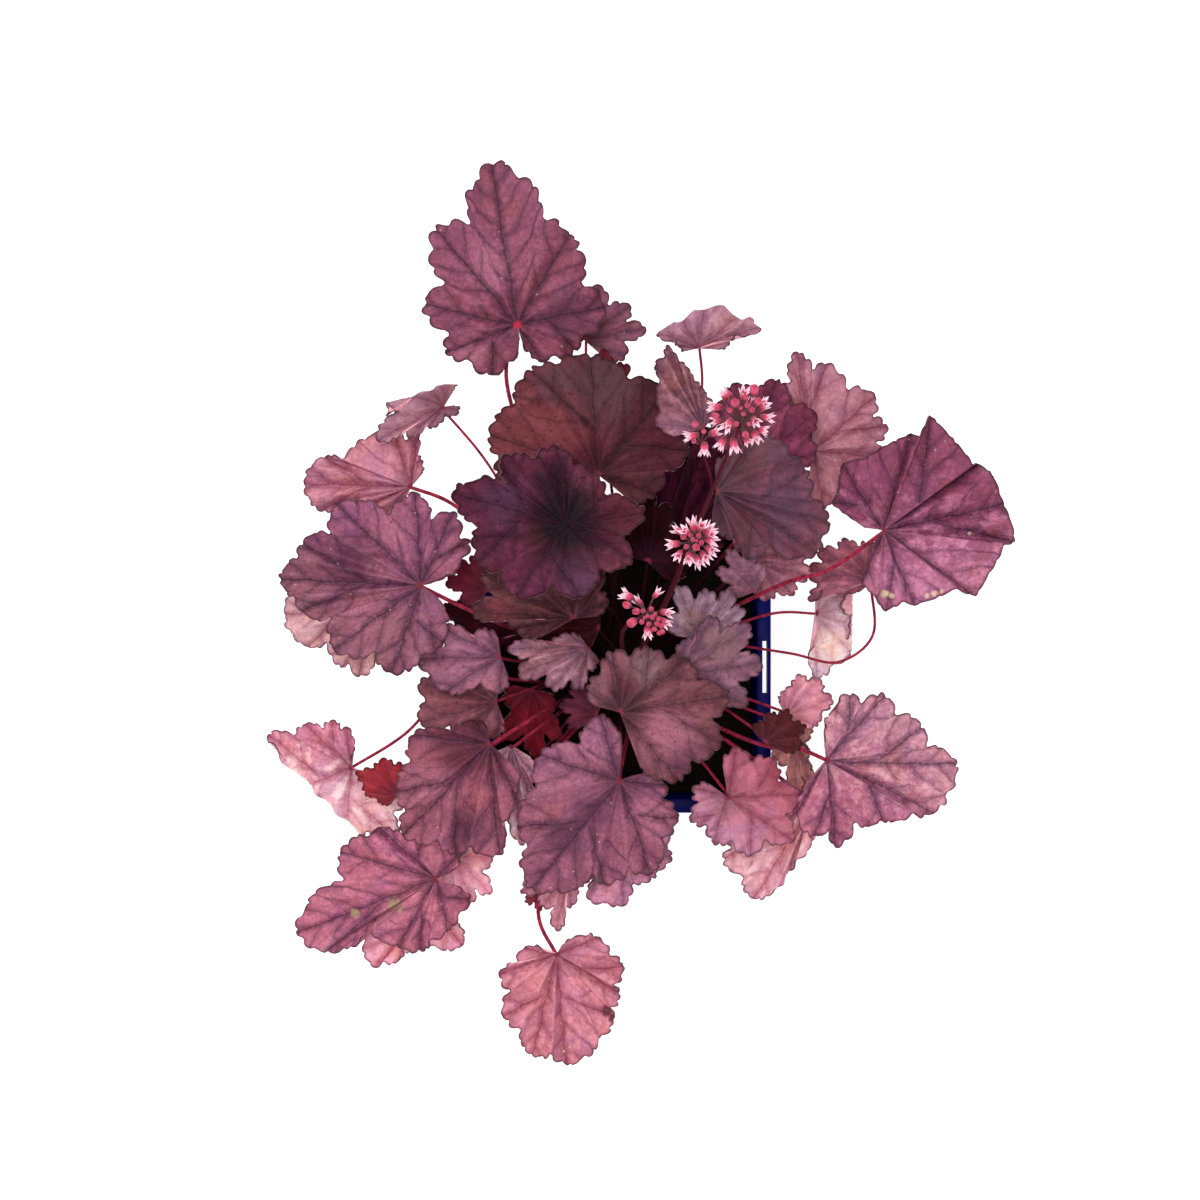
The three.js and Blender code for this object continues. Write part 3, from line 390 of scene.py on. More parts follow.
         clouds=[(40, 12, 8, "ash"), (34, -8, 7, "dusk")]),
    dict(at=(-3, -45, 62), look="mauve", tone=(147, 86, 108), to=(270, 138, 75, 96),
         tips=[(-8, 27), (-33, 10, -35, -3), (-42, -20, -38.5, -27), (-37, -47, -11, -40), (-6, -45, 4, -37),
               (13, -40, 18, -24), (24, -16), (19.5, -2)],
         cup=-0.1, wave=0.05, cut=0.82, minor=(2, 4, 6), ends=((1, 15), (6, 2)), core=0.7, heart=(64, 24, 44),
         heartSize=15, clouds=[(-14, -58, 9, "dusk"), (-25, -69, 8, "dusk"), (8, -62, 9, "rose")]),
    dict(at=(-24, -83, 30), look="pink", tone=(187, 122, 137),
         tips=[(-20, -2), (-21, -14), (-12, -20), (-6, -31), (0, -20), (8, -8)], lift=-0.2),
    dict(at=(-39, -94, 18), look="red", tone=(140, 40, 56),
         tips=[(-3, -2), (-4, -9), (2, -12), (5, -6), (4, 1)]),
    dict(at=(-3, -71, 36), look="mauve", tone=(186, 116, 141),
         tips=[(-14, -19), (-13.5, -28.5, -6, -30), (2.5, -31, 6, -21.5), (14, -19.5, 16.5, -16),
               (22.5, -10.5, 21, -5), (21, 2)], lift=-0.2, round=0.6),
    dict(at=(-30, -125, 14), look="pink", tone=(194, 117, 133), via=[(-38, -107, 18), (-26, -60, 22)],
         tips=[(-15, 1.8, -17.5, -4.5), (-25.5, -10, -20.5, -16.5), (-23.5, -28.5, -16, -33.5),
               (-11, -46.5, -2.5, -45), (4, -51, 19, -38), (25, -29, 23.5, -25), (27.5, -19, 25, -14.5),
               (29, -6, 23.5, -0.5), (17.5, 7)],
         cup=-0.06, cut=0.86, minor=(2, 5, 7), ends=((-5, 1), (2.5, 3.5)), spots=[(-8, -151.5, 3, "bruise"),
         (-5.5, -155, 2.2, "bruise"), (-27, -170, 0.8, "spot"), (-24.5, -168, 0.6, "spot")]),
    dict(at=(108, 59, 50), look="mauve", tone=(127, 59, 85), to=(270, 174, 102, 131),
         via=[(84, 42, 50), (70, 38, 44), (34, 20, 18)],
         tips=[(-9, -22, -4, -28), (1, -34, 8.5, -30), (14, -31.5, 31, -24.5), (40.5, -27.5, 51.5, -6),
               (57.5, -4.5, 54.5, 4), (52.5, 11.5, 47, 23), (42, 29, 38.5, 28), (21.7, 49.5, 15.8, 40),
               (13, 41.5, -8, 30.5), (-17, 28.5, -19.5, 17), (-21.5, 11.5)],
         lift=-0.08, cut=0.86, minor=(1, 4, 7, 10), ends=((-4, -5), (-8, 1.5)), round=0.15, bite=0.5,
         spots=[(108.5, 32.5, 2.2, "spot"), (111.5, 31.5, 1.4, "spot"), (127, 31.6, 1.4, "spot"),
         (130, 32.6, 1.6, "spot"), (133, 33.6, 1.2, "spot"), (145, 58, 1, "spot")]),
    dict(at=(107, 38, 30), look="dark", tone=(143, 77, 93), via=[(106, 14, 30), (92, 3, 26), (72, 6.5, 18)],
         tips=[(-2, 17), (-13, 18), (-23, 14), (-28, 5), (-27, -9, -22, -4), (-12, -3.5)], lift=-0.2, cut=0.86),
    dict(at=(84.5, 24, 2), look="pink", tone=(232, 192, 196), via=[(66, 24, 8), (36, 14, 8)],
         tips=[(1, -29, 8, -23.5), (16, -17.5, 20, -12), (26, -8), (30, 4), (24, 18), (2, 14)],
         folds=[(0, 17, 165)], lift=-0.2, wave=0.01, cut=0.9, ends=((1.5, -8), (1.5, 6)), calm=0.7, shine=0.06),
    dict(at=(79, 93, 42), look="pink", tone=(163, 103, 118),
         tips=[(5, -24), (20, -16), (31, -2), (33, 11), (28, 24), (7, 38), (-6, 43), (-15, 26), (-12, 6)],
         lift=-0.12, cut=0.86, minor=(1, 3, 5, 7)),
    dict(at=(52, 85, 52), look="dark", tone=(104, 41, 63),
         tips=[(18, -6), (28, 6), (28, 24), (12, 38), (-6, 36, -11, 30), (-15, 23)], cut=0.88, shine=0.12),
    dict(at=(32, 101, 60), look="grey", tone=(137, 83, 96),
         tips=[(4, 11), (-1, 17.5), (-7, 25.5), (-15.3, 34.5), (-20, 28), (-19.5, 14), (-20, 2)],
         cup=0.15, cut=0.94, round=0.5, bite=0.7, calm=0.7),
    dict(at=(37, 75, 62), look="dark", tone=(96, 44, 62), to=(180, 52, 16, 32),
         tips=[(4, -19), (14, -28, 22, -23), (43, -25.5, 45, -19), (48.5, -12, 40, -2), (38, 9, 31, 15),
               (20, 23), (5, 15)],
         lift=-0.12, cup=-0.1, wave=0.05, cut=0.84, minor=(1, 4), teeth=True, calm=0.75, shine=0.36, core=0.6,
         heart=(40, 12, 26), heartSize=17, clouds=[(50, 85, 7, "maroonShade"), (66, 68, 11, "plum"), (50, 62, 8, "maroonShade"),
         (66, 90, 7, "dusk")]),
    dict(at=(52, 47, 36), look="bronze", tone=(163, 96, 114),
         tips=[(9, -17), (20, -14.5), (27.5, -7), (27, 5), (10, 10)], cut=0.88),
    dict(at=(53, 33, 54), look="grey", tone=(142, 88, 104), via=[(49, 33, 38), (24, 16, 8)],
         tips=[(4, 12), (-2, 20), (-10, 18), (-15, 9), (-8, 0)], calm=0.8),
    dict(at=(86, -39, 32), look="mauve", tone=(174, 97, 121), to=(60, 189, 126, 142),
         via=[(74, -34, 32), (60, -33, 27), (30, -20, 10)],
         tips=[(-11, -20, -12, -26), (-5, -33, 2, -29.5), (5, -38, 12, -27), (25, -26, 38, -23),
               (48, -23.5, 53, -15), (58.5, -3, 44, 5.5), (43, 13.5, 30, 19.5), (26, 27.5, 15, 24.5), (10, 28.5)],
         wave=0.04, cut=0.84, minor=(1, 3, 6, 8), ends=((-5.5, -7.5), (-0.8, 7))),
    dict(at=(70, -21, 16), look="pink", tone=(220, 144, 157),
         tips=[(14, -3.5), (20.5, 7.5), (14.5, 16.5), (6, 18.5), (-1, 11)], lift=0.1, cup=0.1, cut=0.92, round=0.6),
    dict(at=(59, -31, 38), look="dark", tone=(79, 26, 29), via=[(50, -22, 32), (26, -8, 10)],
         tips=[(16, -2), (18, 7), (10, 14), (3, 13), (-4, 8)], cut=0.88, round=0.6, shine=0.1),
    dict(at=(74, -24, 14), look="bronze", tone=(170, 109, 104),
         tips=[(-8, -16), (2, -34), (8, -28), (6.5, -14, 4.5, -9.5), (7.5, -1.5)], lift=-0.2),
    dict(at=(44, -55, 28), look="pink", tone=(180, 116, 138), to=(45, 174, 92, 112),
         tips=[(-15, 4), (-16, -10), (-6, -20), (10, -26), (29, -20), (32, 0), (20, 16), (4, 21)],
         lift=-0.12, cut=0.84, minor=(1, 3, 6), clouds=[(66, -45, 7, "wine")]),
    dict(at=(85, -60, -8), look="pink", tone=(238, 169, 178), via=[(66, -47, 2.5), (34, -25, 4)],
         tips=[(-28, -6), (-39, -19, -37, -22), (-40, -28, -32, -35), (-26, -46, -16.5, -41),
               (-13, -35, -8, -28), (-1, -19)], lift=-0.12, cut=0.94, ends=((-18, 0), (1, -8))),
    # leaf_50 lies deep in the middle under the flower heads; its near-black tone is partly painted shade.
    dict(at=(9, 46, 45), look="dark", tone=(31, 4, 8),
         tips=[(15, -7), (13, 9), (9, 24), (0, 30), (-10, 26), (-12, 8)], lift=-0.05, cup=0.1, cut=0.86, shine=0.03),
    dict(at=(20, 52, 1), look="dark", tone=(68, 21, 41),
         tips=[(24, 4), (32, 22), (29, 48, 19, 51), (10, 55), (-10, 42), (-18, 24), (-12, 6)],
         lift=0.2, cut=0.86, shine=0.03),
]

# The flower sprays. heads: middle of each head with its height over the rim. bells: the foot of each open bell from
# the middle of its head, x, y, z, then its bearing and its slant from upright in degrees, and its size. buds: the
# middle of each bud from the middle of its head, x, y, z, and its size. The first head ends the stem, a second one
# has a branch of its own.
sprays = [
    dict(heads=[
        dict(at=(40.5, 94.8, 160),
             bells=[(-3.3, 9.2, 1, 147, 78, 1.05), (-6.6, 5.6, -1, 172, 84, 1), (0.4, 8.2, 3, 82, 36, 0.95),
                    (6.4, 5.6, 2, 22, 48, 1), (7.2, 2.2, -1, -17, 62, 1), (5.6, -2.0, -2, -7, 88, 1),
                    (4.8, -3.0, 0, -79, 74, 1), (-3.6, 0.6, 6, -132, 62, 1.1), (-5.6, -5.0, -3, -113, 96, 1),
                    (-3.0, -5.4, -2, -79, 92, 1.05), (3.6, 1.2, 5, -53, 44, 0.9), (6.5, 4.5, -5, 40, 112, 0.9),
                    (-5.0, 8.0, -4, 118, 104, 0.9), (1.5, -4.4, -6, -60, 122, 0.9), (-6.0, 1.6, -6, 190, 112, 0.9),
                    (2.6, 6.4, -5, 75, 110, 0.9)],
             buds=[(4.2, 11.2, 4, 1.5), (-2.6, 6.4, 7.5, 1.3), (1.2, 8.4, 7, 0.8), (1.6, 5.4, 9, 0.8),
                   (-9.4, 2.2, 2, 1.0), (-2.4, -1.4, 9, 0.8), (1.2, -5.0, 6, 1.0), (0.2, 2.2, 10, 0.7),
                   (3.4, 3.8, 8.4, 0.8), (-4.6, 3.6, 8, 0.8), (-0.8, 4.2, 10.4, 0.6), (5.6, 7.0, 6, 1.1),
                   (2.4, -1.4, 8.6, 0.7)]),
        dict(at=(26, 87.6, 150),
             bells=[(-0.4, 3.4, 1, 180, 82, 1), (1.7, 1.0, 0, -92, 88, 1.05), (3.2, 3.4, -1, 20, 100, 0.9)],
             buds=[(-1.9, 7.0, 2, 1.0), (1.2, 4.4, 4, 0.7), (-2.4, 1.0, 2, 0.8)]),
    ], via=[(28, 62, 118), (17, 31, 60)]),
    dict(heads=[
        dict(at=(23, 51.3, 146),
             bells=[(1.4, 3.6, 1, 108, 72, 1.05), (2.5, 4.6, 2, 54, 40, 0.95), (-0.8, 3.0, 3, 146, 52, 1),
                    (-4.0, -0.4, 0, 188, 76, 1), (-3.8, -3.2, 1, 241, 48, 0.95), (-1.0, -3.8, 2, 262, 54, 1),
                    (1.5, -4.8, 0, 284, 62, 1), (3.6, -3.4, 1, 307, 50, 1), (5.2, -1.5, 0, 319, 52, 1),
                    (4.8, 1.6, 1, 342, 66, 1.05), (4.4, 3.2, -1, 38, 60, 1), (5.4, 2.4, 3, 8, 42, 0.9),
                    (-2.6, 3.4, -4, 160, 108, 0.9), (2.0, 3.0, -5, 70, 114, 0.9), (0.6, -3.2, -5, 262, 112, 0.9)],
             buds=[(1.5, -2.0, 6, 1.2), (-3.2, 1.9, 4, 0.9), (2.4, 2.2, 6.6, 0.8), (-2.2, -1.8, 5.6, 0.8),
                   (0.2, 0.8, 8, 0.7), (3.4, -0.2, 6.4, 0.8), (-0.6, 2.4, 6.4, 0.7), (1.6, 0.4, 7.6, 0.5)]),
    ], via=[(15, 26, 60), (1, -3, 14)]),
    dict(heads=[
        dict(at=(7, 25, 120),
             bells=[(-5.2, 5.2, 0, 158, 78, 1.15), (2.4, 5.6, 1, 48, 70, 0.85), (5.1, 0.4, 1, -5, 58, 1),
                    (0.0, -5.0, 1, -86, 62, 1), (5.4, -2.2, 0, -53, 52, 0.95), (-1.6, 2.6, -4, 140, 112, 0.9)],
             buds=[(-7.6, 2.9, 0, 1.2), (-4.2, 0.4, 2, 1.15), (-5.7, -3.8, 0, 1.45), (-1.6, 0.6, 4.6, 0.8),
                   (1.6, 1.4, 5.4, 0.8), (2.0, -1.8, 6, 0.85), (3.8, -4.2, 4.4, 0.85), (5.4, -5.0, 3, 0.8),
                   (-2.0, -3.6, 4, 0.85), (0.6, -4.4, 5.2, 0.8), (5.8, -7.2, 1.4, 0.8), (4.6, -7.8, 1, 0.7),
                   (3.0, -0.6, 6.6, 0.65), (4.4, -2.4, 5.4, 0.75), (0.2, -1.4, 6.8, 0.6), (2.8, -6.2, 3.4, 0.8),
                   (1.2, -7.0, 1.8, 0.75), (-1.0, -2.0, 6, 0.6), (6.4, -3.6, 3, 0.7)]),
    ], via=[(-2, 15, 60), (3, -7, 14)]),
]

leafShape = {
    "thickness": 0.62,
    "rings": 13,
    "foldedRings": 26,
    "ringPower": 1.3,     # the higher, the closer rings lie near the rim
    "perTooth": 7,        # points along the rim for each tooth
    "ruffle": 0.7,        # height of the small waves along the rim
    "ruffleLength": 2.3,  # their length, divided by 2 pi
    "pleat": 0.062,       # how far the veins lie under the sinuses, as a share of the length
    "quilt": 0.32,        # height of the pillows between side veins
    "veinSpacing": 12.5,  # of the side veins along a main vein
    "veinSlope": 0.8,     # how far a side vein runs outwards for each mm that it leaves the main vein
    "veinCurve": 0.03,    # and for the square of that distance
    "fork": 0.36,         # share of a main vein at which a branch to a smaller lobe leaves it
    "toothSharp": 0.65,   # the lower, the blunter the teeth and the sharper the notches
    "toothSink": 0.55,    # share of a tooth's depth that lies inside the rim's line
    "toothLean": 1.8,     # how far a tooth leans towards the tip; 1 is upright
    "gapShare": 0.66,     # reach of the rim's ends beside the gap, as a share of the end tips'
    "gapTurn": 0.35,      # and their turn from those tips, in radians
    "foldRadius": 3,
}
# Where the flank points of a lobe with and without shoulders lie, and how far each bulges.
flankShape = {True: ((0.1, 0.34, 0.6), (0.11, 0.12, 0.18)), False: ((0.13, 0.5), (0.12, 0.17))}
stalkShape = {
    "radius": 1.15, "tip": 0.85, "sides": 12, "steps": 56,
    "slim": (50, 0.7),      # the tip is thinner in leaves shorter than this, down to this share
    "joint": 1.8,           # how far from the blade's origin a stalk ends, along the leaf's heading
    "tuck": 0.95,           # how far the end of a level stalk is drawn down under the blade
    "elbow": (0.35, 0.58),  # a stalk without via points bends at this share of its way across, and of its rise
}
rootPatch = {
    "radius": 25, "ground": 107, "foot": 95.5, "soilTop": 101, "rim": 115,
    "straight": 1.2,        # how much a place to one side of a stem's own way counts against it
}


def lobeKnots(tip, before, after, teeth, bulging):
    # The corners of one lobe's rim: sinus, flank, tip, flank, sinus. A flank point lies at a share of the way from
    # the tip to the sinus and bulges out by a share of that distance. The last number is 0 at the tip, 1 in a sinus.
    def flank(sinus, side):
        away = tip - sinus
        return [np.append(mix(tip, sinus, s) + side * bulging * b * np.array([away[1], -away[0]]), s)
                for s, b in zip(*flankShape[teeth])]
    return np.array([np.append(before, 1), *flank(before, 1)[::-1], np.append(tip, 0), *flank(after, -1),
                     np.append(after, 1)])


def sinusPoints(tips, cut, bounds):
    # A sinus lies on the line to the middle of two tips; the first and last are the end tips turned outwards.
    def turned(tip, angle):
        c, s = onCircle(angle)
        return leafShape["gapShare"] * np.array([tip[0] * c - tip[1] * s, tip[0] * s + tip[1] * c])
    ends = [np.array(tip[:2], float) for tip in tips]
    between = [np.array(tip[2:]) if len(tip) > 3 else (tip[2] if len(tip) > 2 else cut) / 2 * (a + b)
               for tip, a, b in zip(tips, ends, ends[1:])]
    first, last = bounds or (turned(ends[0], -leafShape["gapTurn"]), turned(ends[-1], leafShape["gapTurn"]))
    return [np.array(first), *between, np.array(last)]


def lobeRim(knots, width, depth, seed):
    # One lobe's rim: a Catmull-Rom line through its knots, x, y and phase, with its points spaced evenly along it,
    # and how far a tooth pushes each point out: depth * (sin(pi * u)^sharp - sink), with a sharp notch between two
    # teeth. u goes from 0 to 1 over a tooth, bent so that the tooth leans towards the tip.
    p = np.vstack([2 * knots[0] - knots[1], knots, 2 * knots[-1] - knots[-2]])
    t = np.linspace(0, len(knots) - 1, 12 * (len(knots) - 1) + 1)
    i = np.minimum(t.astype(int), len(knots) - 2)
    t = (t - i)[:, None]
    line = (p[i] * (-t**3 + 2 * t**2 - t) + p[i + 1] * (3 * t**3 - 5 * t**2 + 2)
            + p[i + 2] * (-3 * t**3 + 4 * t**2 + t) + p[i + 3] * (t**3 - t**2)) / 2
    run = np.concatenate([[0], np.cumsum(np.linalg.norm(np.diff(line[:, :2], axis=0), axis=1))])
    teeth = max(3, 2 * int(round((run[-1] / width - 1) / 2)) + 1)
    count = teeth * leafShape["perTooth"]
    share = np.arange(count + 1) / count
    tooth = share * teeth
    within = np.minimum(tooth, teeth) % 1
    lean, bent = np.sin(np.clip(share - 0.5, -0.25, 0.25) * 2 * np.pi), leafShape["toothLean"]
    within = np.where(lean < 0, mix(within, within**bent, -lean), mix(within, 1 - (1 - within) ** bent, lean))
    share = share + 0.2 / teeth * np.sin(2 * np.pi * share * max(1, teeth // 2) + seed) * np.sin(np.pi * share)
    rim = np.stack([np.interp(share * run[-1], run, line[:, k]) for k in range(3)], 1)
    size = 1 + 0.3 * np.sin(2.4 * np.floor(np.minimum(tooth, teeth - 0.01)) + seed)
    push = depth * size * (np.abs(np.sin(np.pi * within)) ** leafShape["toothSharp"] - leafShape["toothSink"])
    push[[0, -1]] = 0
    return rim, push


def bladeHeight(leaf, x, y, phase, share):
    # lift * along + cup * out^2 - pleat * out * cos(pi * phase) + wave * share^3 * sin(3 * bearing), times length.
    heading, length = leaf["heading"], leaf["length"]
    along = (x * np.cos(heading) + y * np.sin(heading)) / length
    across = (y * np.cos(heading) - x * np.sin(heading)) / length
    out = np.hypot(along, across)
    pleat = leaf["calm"] * leafShape["pleat"]
    rise = leaf["lift"] * along + leaf["cup"] * out**2 - pleat * out * np.cos(np.pi * phase)
    return length * (rise + leaf["wave"] * share**3 * np.sin(3 * np.arctan2(y, x) + leaf["at"][0]))


def rollFolds(folds, points):
    # What lies past a fold line rolls down round a small radius and goes on straight under the blade.
    radius = leafShape["foldRadius"]
    for heading, distance, angle in folds:
        n = onCircle(heading * degree)
        past = points[..., :2] @ n - distance
        turn = np.clip(past / radius, 0, angle * degree)
        rest = past - turn * radius
        z = points[..., 2]
        out = radius * np.sin(turn) + rest * np.cos(turn) + z * np.sin(turn)
        down = z * np.cos(turn) - radius * (1 - np.cos(turn)) - rest * np.sin(turn)
        beyond = past > 0
        points[..., :2] += np.where(beyond, out - past, 0)[..., None] * n
        points[..., 2] = np.where(beyond, down, z)
    return points


def veinAxes(leaf):
    # Where the vein of each lobe starts, its direction and length, and the lobe that it belongs to. A main vein
    # starts at the stalk, and the vein of a smaller lobe branches off its larger neighbour's.
    tips = [np.array(tip[:2], float) for tip in leaf["tips"]]
    axes = []
    for i, tip in enumerate(tips):
        start, parent = np.zeros(2), i
        if i in leaf["minor"]:
            beside = [k for k in (i - 1, i + 1) if 0 <= k < len(tips) and k not in leaf["minor"]]
            parent = max(beside, key=lambda k: tips[k] @ tips[k])
            start = leafShape["fork"] * tips[parent]
        axes.append((start, unit(tip - start), np.linalg.norm(tip - start), parent))
    return axes


def leafSurface(leaf, seed):
    # The middle surface of a blade, a grid of rings out from the joint by columns round the rim:
    # place = share * rim + share^k * tooth, with the blade's height, its pillows between veins and its folds.
    tips = [np.array(tip[:2], float) for tip in leaf["tips"]]
    sinuses = sinusPoints(leaf["tips"], leaf["cut"], leaf["ends"])
    rims = [lobeRim(lobeKnots(tip, sinuses[i], sinuses[i + 1], leaf["teeth"], leaf["round"]), leaf["tooth"],
                    leaf["bite"] * leaf["tooth"] / 6, seed + i) for i, tip in enumerate(tips)]
    axes = veinAxes(leaf)
    rings = leafShape["foldedRings" if leaf["folds"] else "rings"]
    step = np.arange(rings + 1) / rings
    share = (step if leaf["folds"] else 1 - (1 - step) ** leafShape["ringPower"])[:, None]
    segments = []
    for i, (rim, push) in enumerate(rims):
        line, phase = rim[:, :2], rim[:, 2]
        run = unit(np.gradient(line, axis=0))
        outward = np.stack([run[:, 1], -run[:, 0]], 1)
        power = max(4, leaf["length"] / 3)
        plan = share[..., None] * line + (share**power * push)[..., None] * outward

        def onAxis(k):
            start, axis = axes[k][:2]
            away = plan - start
            return away @ axis, away @ np.array([-axis[1], axis[0]])
        along, across = onAxis(i)
        aside = np.abs(across)
        warp = along - (leafShape["veinSlope"] + leafShape["veinCurve"] * aside) * aside
        pillow = np.abs(np.sin(np.pi * (warp / leafShape["veinSpacing"] + 0.5 * (across > 0)))) - 0.6
        pillow = pillow * np.clip(aside / 4, 0, 1) * np.clip(warp / 5, 0, 1)
        inset = (1 - share) * np.linalg.norm(line, axis=1)
        lobe = dict(plan=plan, phase=np.broadcast_to(phase, along.shape), along=along, across=across, pillow=pillow,
                    reach=along / axes[i][2], inset=inset)
        half = len(line) // 2
        for beside, part in ((i - 1, slice(0, half + 1)), (i + 1, slice(half, None))):
            segment = {key: grid[:, part] for key, grid in lobe.items()}
            segment["forkAlong"] = np.full(segment["along"].shape, -20.0)
            segment["forkAcross"] = np.full(segment["along"].shape, 60.0)
            if 0 <= beside < len(tips) and beside in leaf["minor"] and axes[beside][3] == i:
                forkAlong, forkAcross = onAxis(beside)
                segment["forkAlong"], segment["forkAcross"] = forkAlong[:, part], forkAcross[:, part]
            segments.append(segment)

    def whole(key):
        return np.concatenate([one[key][:, :-1] for one in segments[:-1]] + [segments[-1][key]], axis=1)
    plan, phase = whole("plan"), whole("phase")
    x, y = plan[..., 0], plan[..., 1]
    z = bladeHeight(leaf, x, y, phase, share)
    arc = np.cumsum(np.linalg.norm(np.diff(plan[-1], axis=0, prepend=plan[-1][:1]), axis=1))
    z = z + leafShape["ruffle"] * share**5 * np.sin(arc / leafShape["ruffleLength"] + seed)
    z = z + leafShape["quilt"] * whole("pillow") * np.sin(np.pi * share) ** 0.5
    place = rollFolds(leaf["folds"], np.stack([x, y, z], -1))
    place = place + np.array(leaf["at"]) + np.array([0, 0, rootPatch["rim"]])
    return place, segments, plan


def cellCorners(grid):
    # The corners of each face of a grid whose first row is one point: a fan round it, then quads.
    fan = np.stack([grid[0, :-1], grid[1, :-1], grid[1, 1:]], 1)
    rest = grid[1:]
    return fan, np.stack([rest[:-1, :-1], rest[1:, :-1], rest[1:, 1:], rest[:-1, 1:]], 2)


def leafMesh(leaf, stem, seed):
    # Top and underside = middle surface +/- half the thickness along its normal, with a wall all round between
    # them, and the stalk as a tube that thins towards the blade.
    place, segments, plan = leafSurface(leaf, seed)
    rings, columns = place.shape[:2]
    normal = unit(np.cross(np.gradient(place, axis=0), np.gradient(place, axis=1)))
    normal[0] = unit(normal[1].mean(axis=0))
    half = leafShape["thickness"] / 2
    top, under = place + half * normal, place - half * normal

    def packed(grid):
        return np.vstack([grid[0, :1], grid[1:].reshape(-1, grid.shape[-1])])
    n = 1 + (rings - 1) * columns
    index = np.vstack([np.zeros(columns, int), 1 + np.arange((rings - 1) * columns).reshape(rings - 1, columns)])
    fan, quads = cellCorners(index)
    edge = np.concatenate([index[:, 0], index[-1, 1:], index[1:-1, -1][::-1]])
    after = np.roll(edge, -1)
    wall = np.stack([edge, edge + n, after + n, after], 1)

    full, least = stalkShape["slim"]
    tip = stalkShape["tip"] * np.clip(leaf["length"] / full, least, 1)
    radius = mix(stalkShape["radius"], tip, np.clip(3 * np.linspace(0, 1, len(stem)), 0, 1))
    stemPoints, stemFaces = tube(stem, radius, stalkShape["sides"])

    # Each lobe has its own map of its main vein, so a corner in a sinus belongs to the lobe of its face.
    maps = {}
    blank = [np.zeros((*part.shape, 2)) for part in (wall, *stemFaces)]
    for title, pair in (("veins", ("along", "across")), ("fork", ("forkAlong", "forkAcross")),
                        ("rim", ("reach", "inset"))):
        parts = [cellCorners(np.stack([segment[key] for key in pair], -1)) for segment in segments]
        fans, sheets = (np.concatenate([part[k] for part in parts], k) for k in (0, 1))
        maps[title] = [fans, sheets, fans[:, ::-1], sheets[..., ::-1, :], *blank]
    quads = quads.reshape(-1, 4)
    faces = [fan, quads, fan[:, ::-1] + n, quads[:, ::-1] + n, wall] + [part + 2 * n for part in stemFaces]
    points = np.vstack([packed(top), packed(under), stemPoints])
    heading = leaf["to"][0] * degree if leaf["to"] else 0
    toward = (packed(plan) @ onCircle(heading)) / (0.55 * leaf["length"])
    toward = np.clip(0.5 + 0.5 * toward, 0, 1) if leaf["to"] else np.zeros(n)
    away = np.linalg.norm(packed(plan), axis=1)
    plain = np.zeros(len(stemPoints))
    values = {"second": np.concatenate([toward, toward, plain]), "away": np.concatenate([away, away, plain])}
    return makeMesh("leaf", points, faces, maps, [0, 0, 1, 1, 1, 2, 2], values)


def rootPlaces(goals):
    # Where the stems leave the soil: a spiral patch of even spacing. The flattest stem chooses first, and each takes
    # the free place that lies farthest out on its own side.
    goals = np.array(goals, float)
    k = np.arange(len(goals))
    radius = rootPatch["radius"] * np.sqrt((k + 0.5) / len(k))
    free = radius[:, None] * onCircle(k * goldenTurn)
    flatness = np.hypot(goals[:, 0], goals[:, 1]) / (goals[:, 2] + rootPatch["rim"] - rootPatch["soilTop"])
    places = np.zeros((len(k), 2))
    for i in np.argsort(-flatness, kind="stable"):
        c, s = unit(goals[i, :2])
        best = np.argmax(free @ np.array([c, s]) - rootPatch["straight"] * np.abs(free @ np.array([-s, c])))
        places[i] = free[best]
        free = np.delete(free, best, axis=0)
    return places


def overRim(point):
    return np.array(point, float) + np.array([0, 0, rootPatch["rim"]])


def stemLine(root, waypoints, steps):
    # A stem stands upright in its hole, then bends over through its waypoints to its end.
    bend = smoothPath([np.array([*root, rootPatch["ground"]]), *waypoints], 24)
    return evenly(np.vstack([np.array([[*root, rootPatch["foot"]]]), bend]), steps)


def leafStem(leaf, root):
    # The stalk ends in the blade from below, a little way along the leaf's heading.
    share = stalkShape["joint"] / leaf["length"]
    x, y = onCircle(leaf["heading"]) * leaf["length"] * share
    rise = bladeHeight(leaf, x, y, 0, share)
    spot = rollFolds(leaf["folds"], np.array([x, y, rise]))
    joint = overRim(leaf["at"]) + spot
    across, up = stalkShape["elbow"]
    elbow = np.array([*mix(root, joint[:2], across), mix(rootPatch["soilTop"], joint[2], up)])
    via = [overRim(point) for point in leaf["via"]][::-1] if leaf["via"] else [elbow]
    run = unit(joint - via[-1])
    joint[2] += 0.1 - stalkShape["tuck"] * np.hypot(run[0], run[1])
    return stemLine(root, [*via, joint], stalkShape["steps"])


leafColour = {
    "stalk": (158, 38, 66),
    "stalkDark": (100, 22, 42),
    # painted shade: near-black colours that stalks and flower stems take inside the crown
    "stalkCrownShade": (34, 5, 13),
    "scapeCrownShade": (74, 20, 34),
    "under": (150, 78, 98),
    "underPatch": (128, 58, 82),
    "underPink": (232, 164, 176),
    "underPinkPatch": (214, 138, 154),
    "underVein": (190, 130, 140),
    "underMargin": (60, 18, 34),
    "spot": (204, 184, 150),
    "blemish": (158, 134, 104),
    "bruise": (96, 34, 42),
    # painted shade: a dark maroon laid as clouds where other leaves shade a blade or where it dips into a hollow
    "maroonShade": (78, 22, 40),
    "wine": (140, 46, 62),
    "dusk": (88, 42, 64),
    "plum": (84, 48, 74),
    "rose": (168, 100, 122),
    "russet": (118, 56, 62),
    "ash": (128, 92, 98),
    "slate": (82, 52, 62),
    # painted shade: near black, laid as clouds in a blade's deep funnel round its stalk
    "funnelShade": (16, 4, 14),
    "speck": (226, 190, 200),
    "down": (235, 190, 190),
}
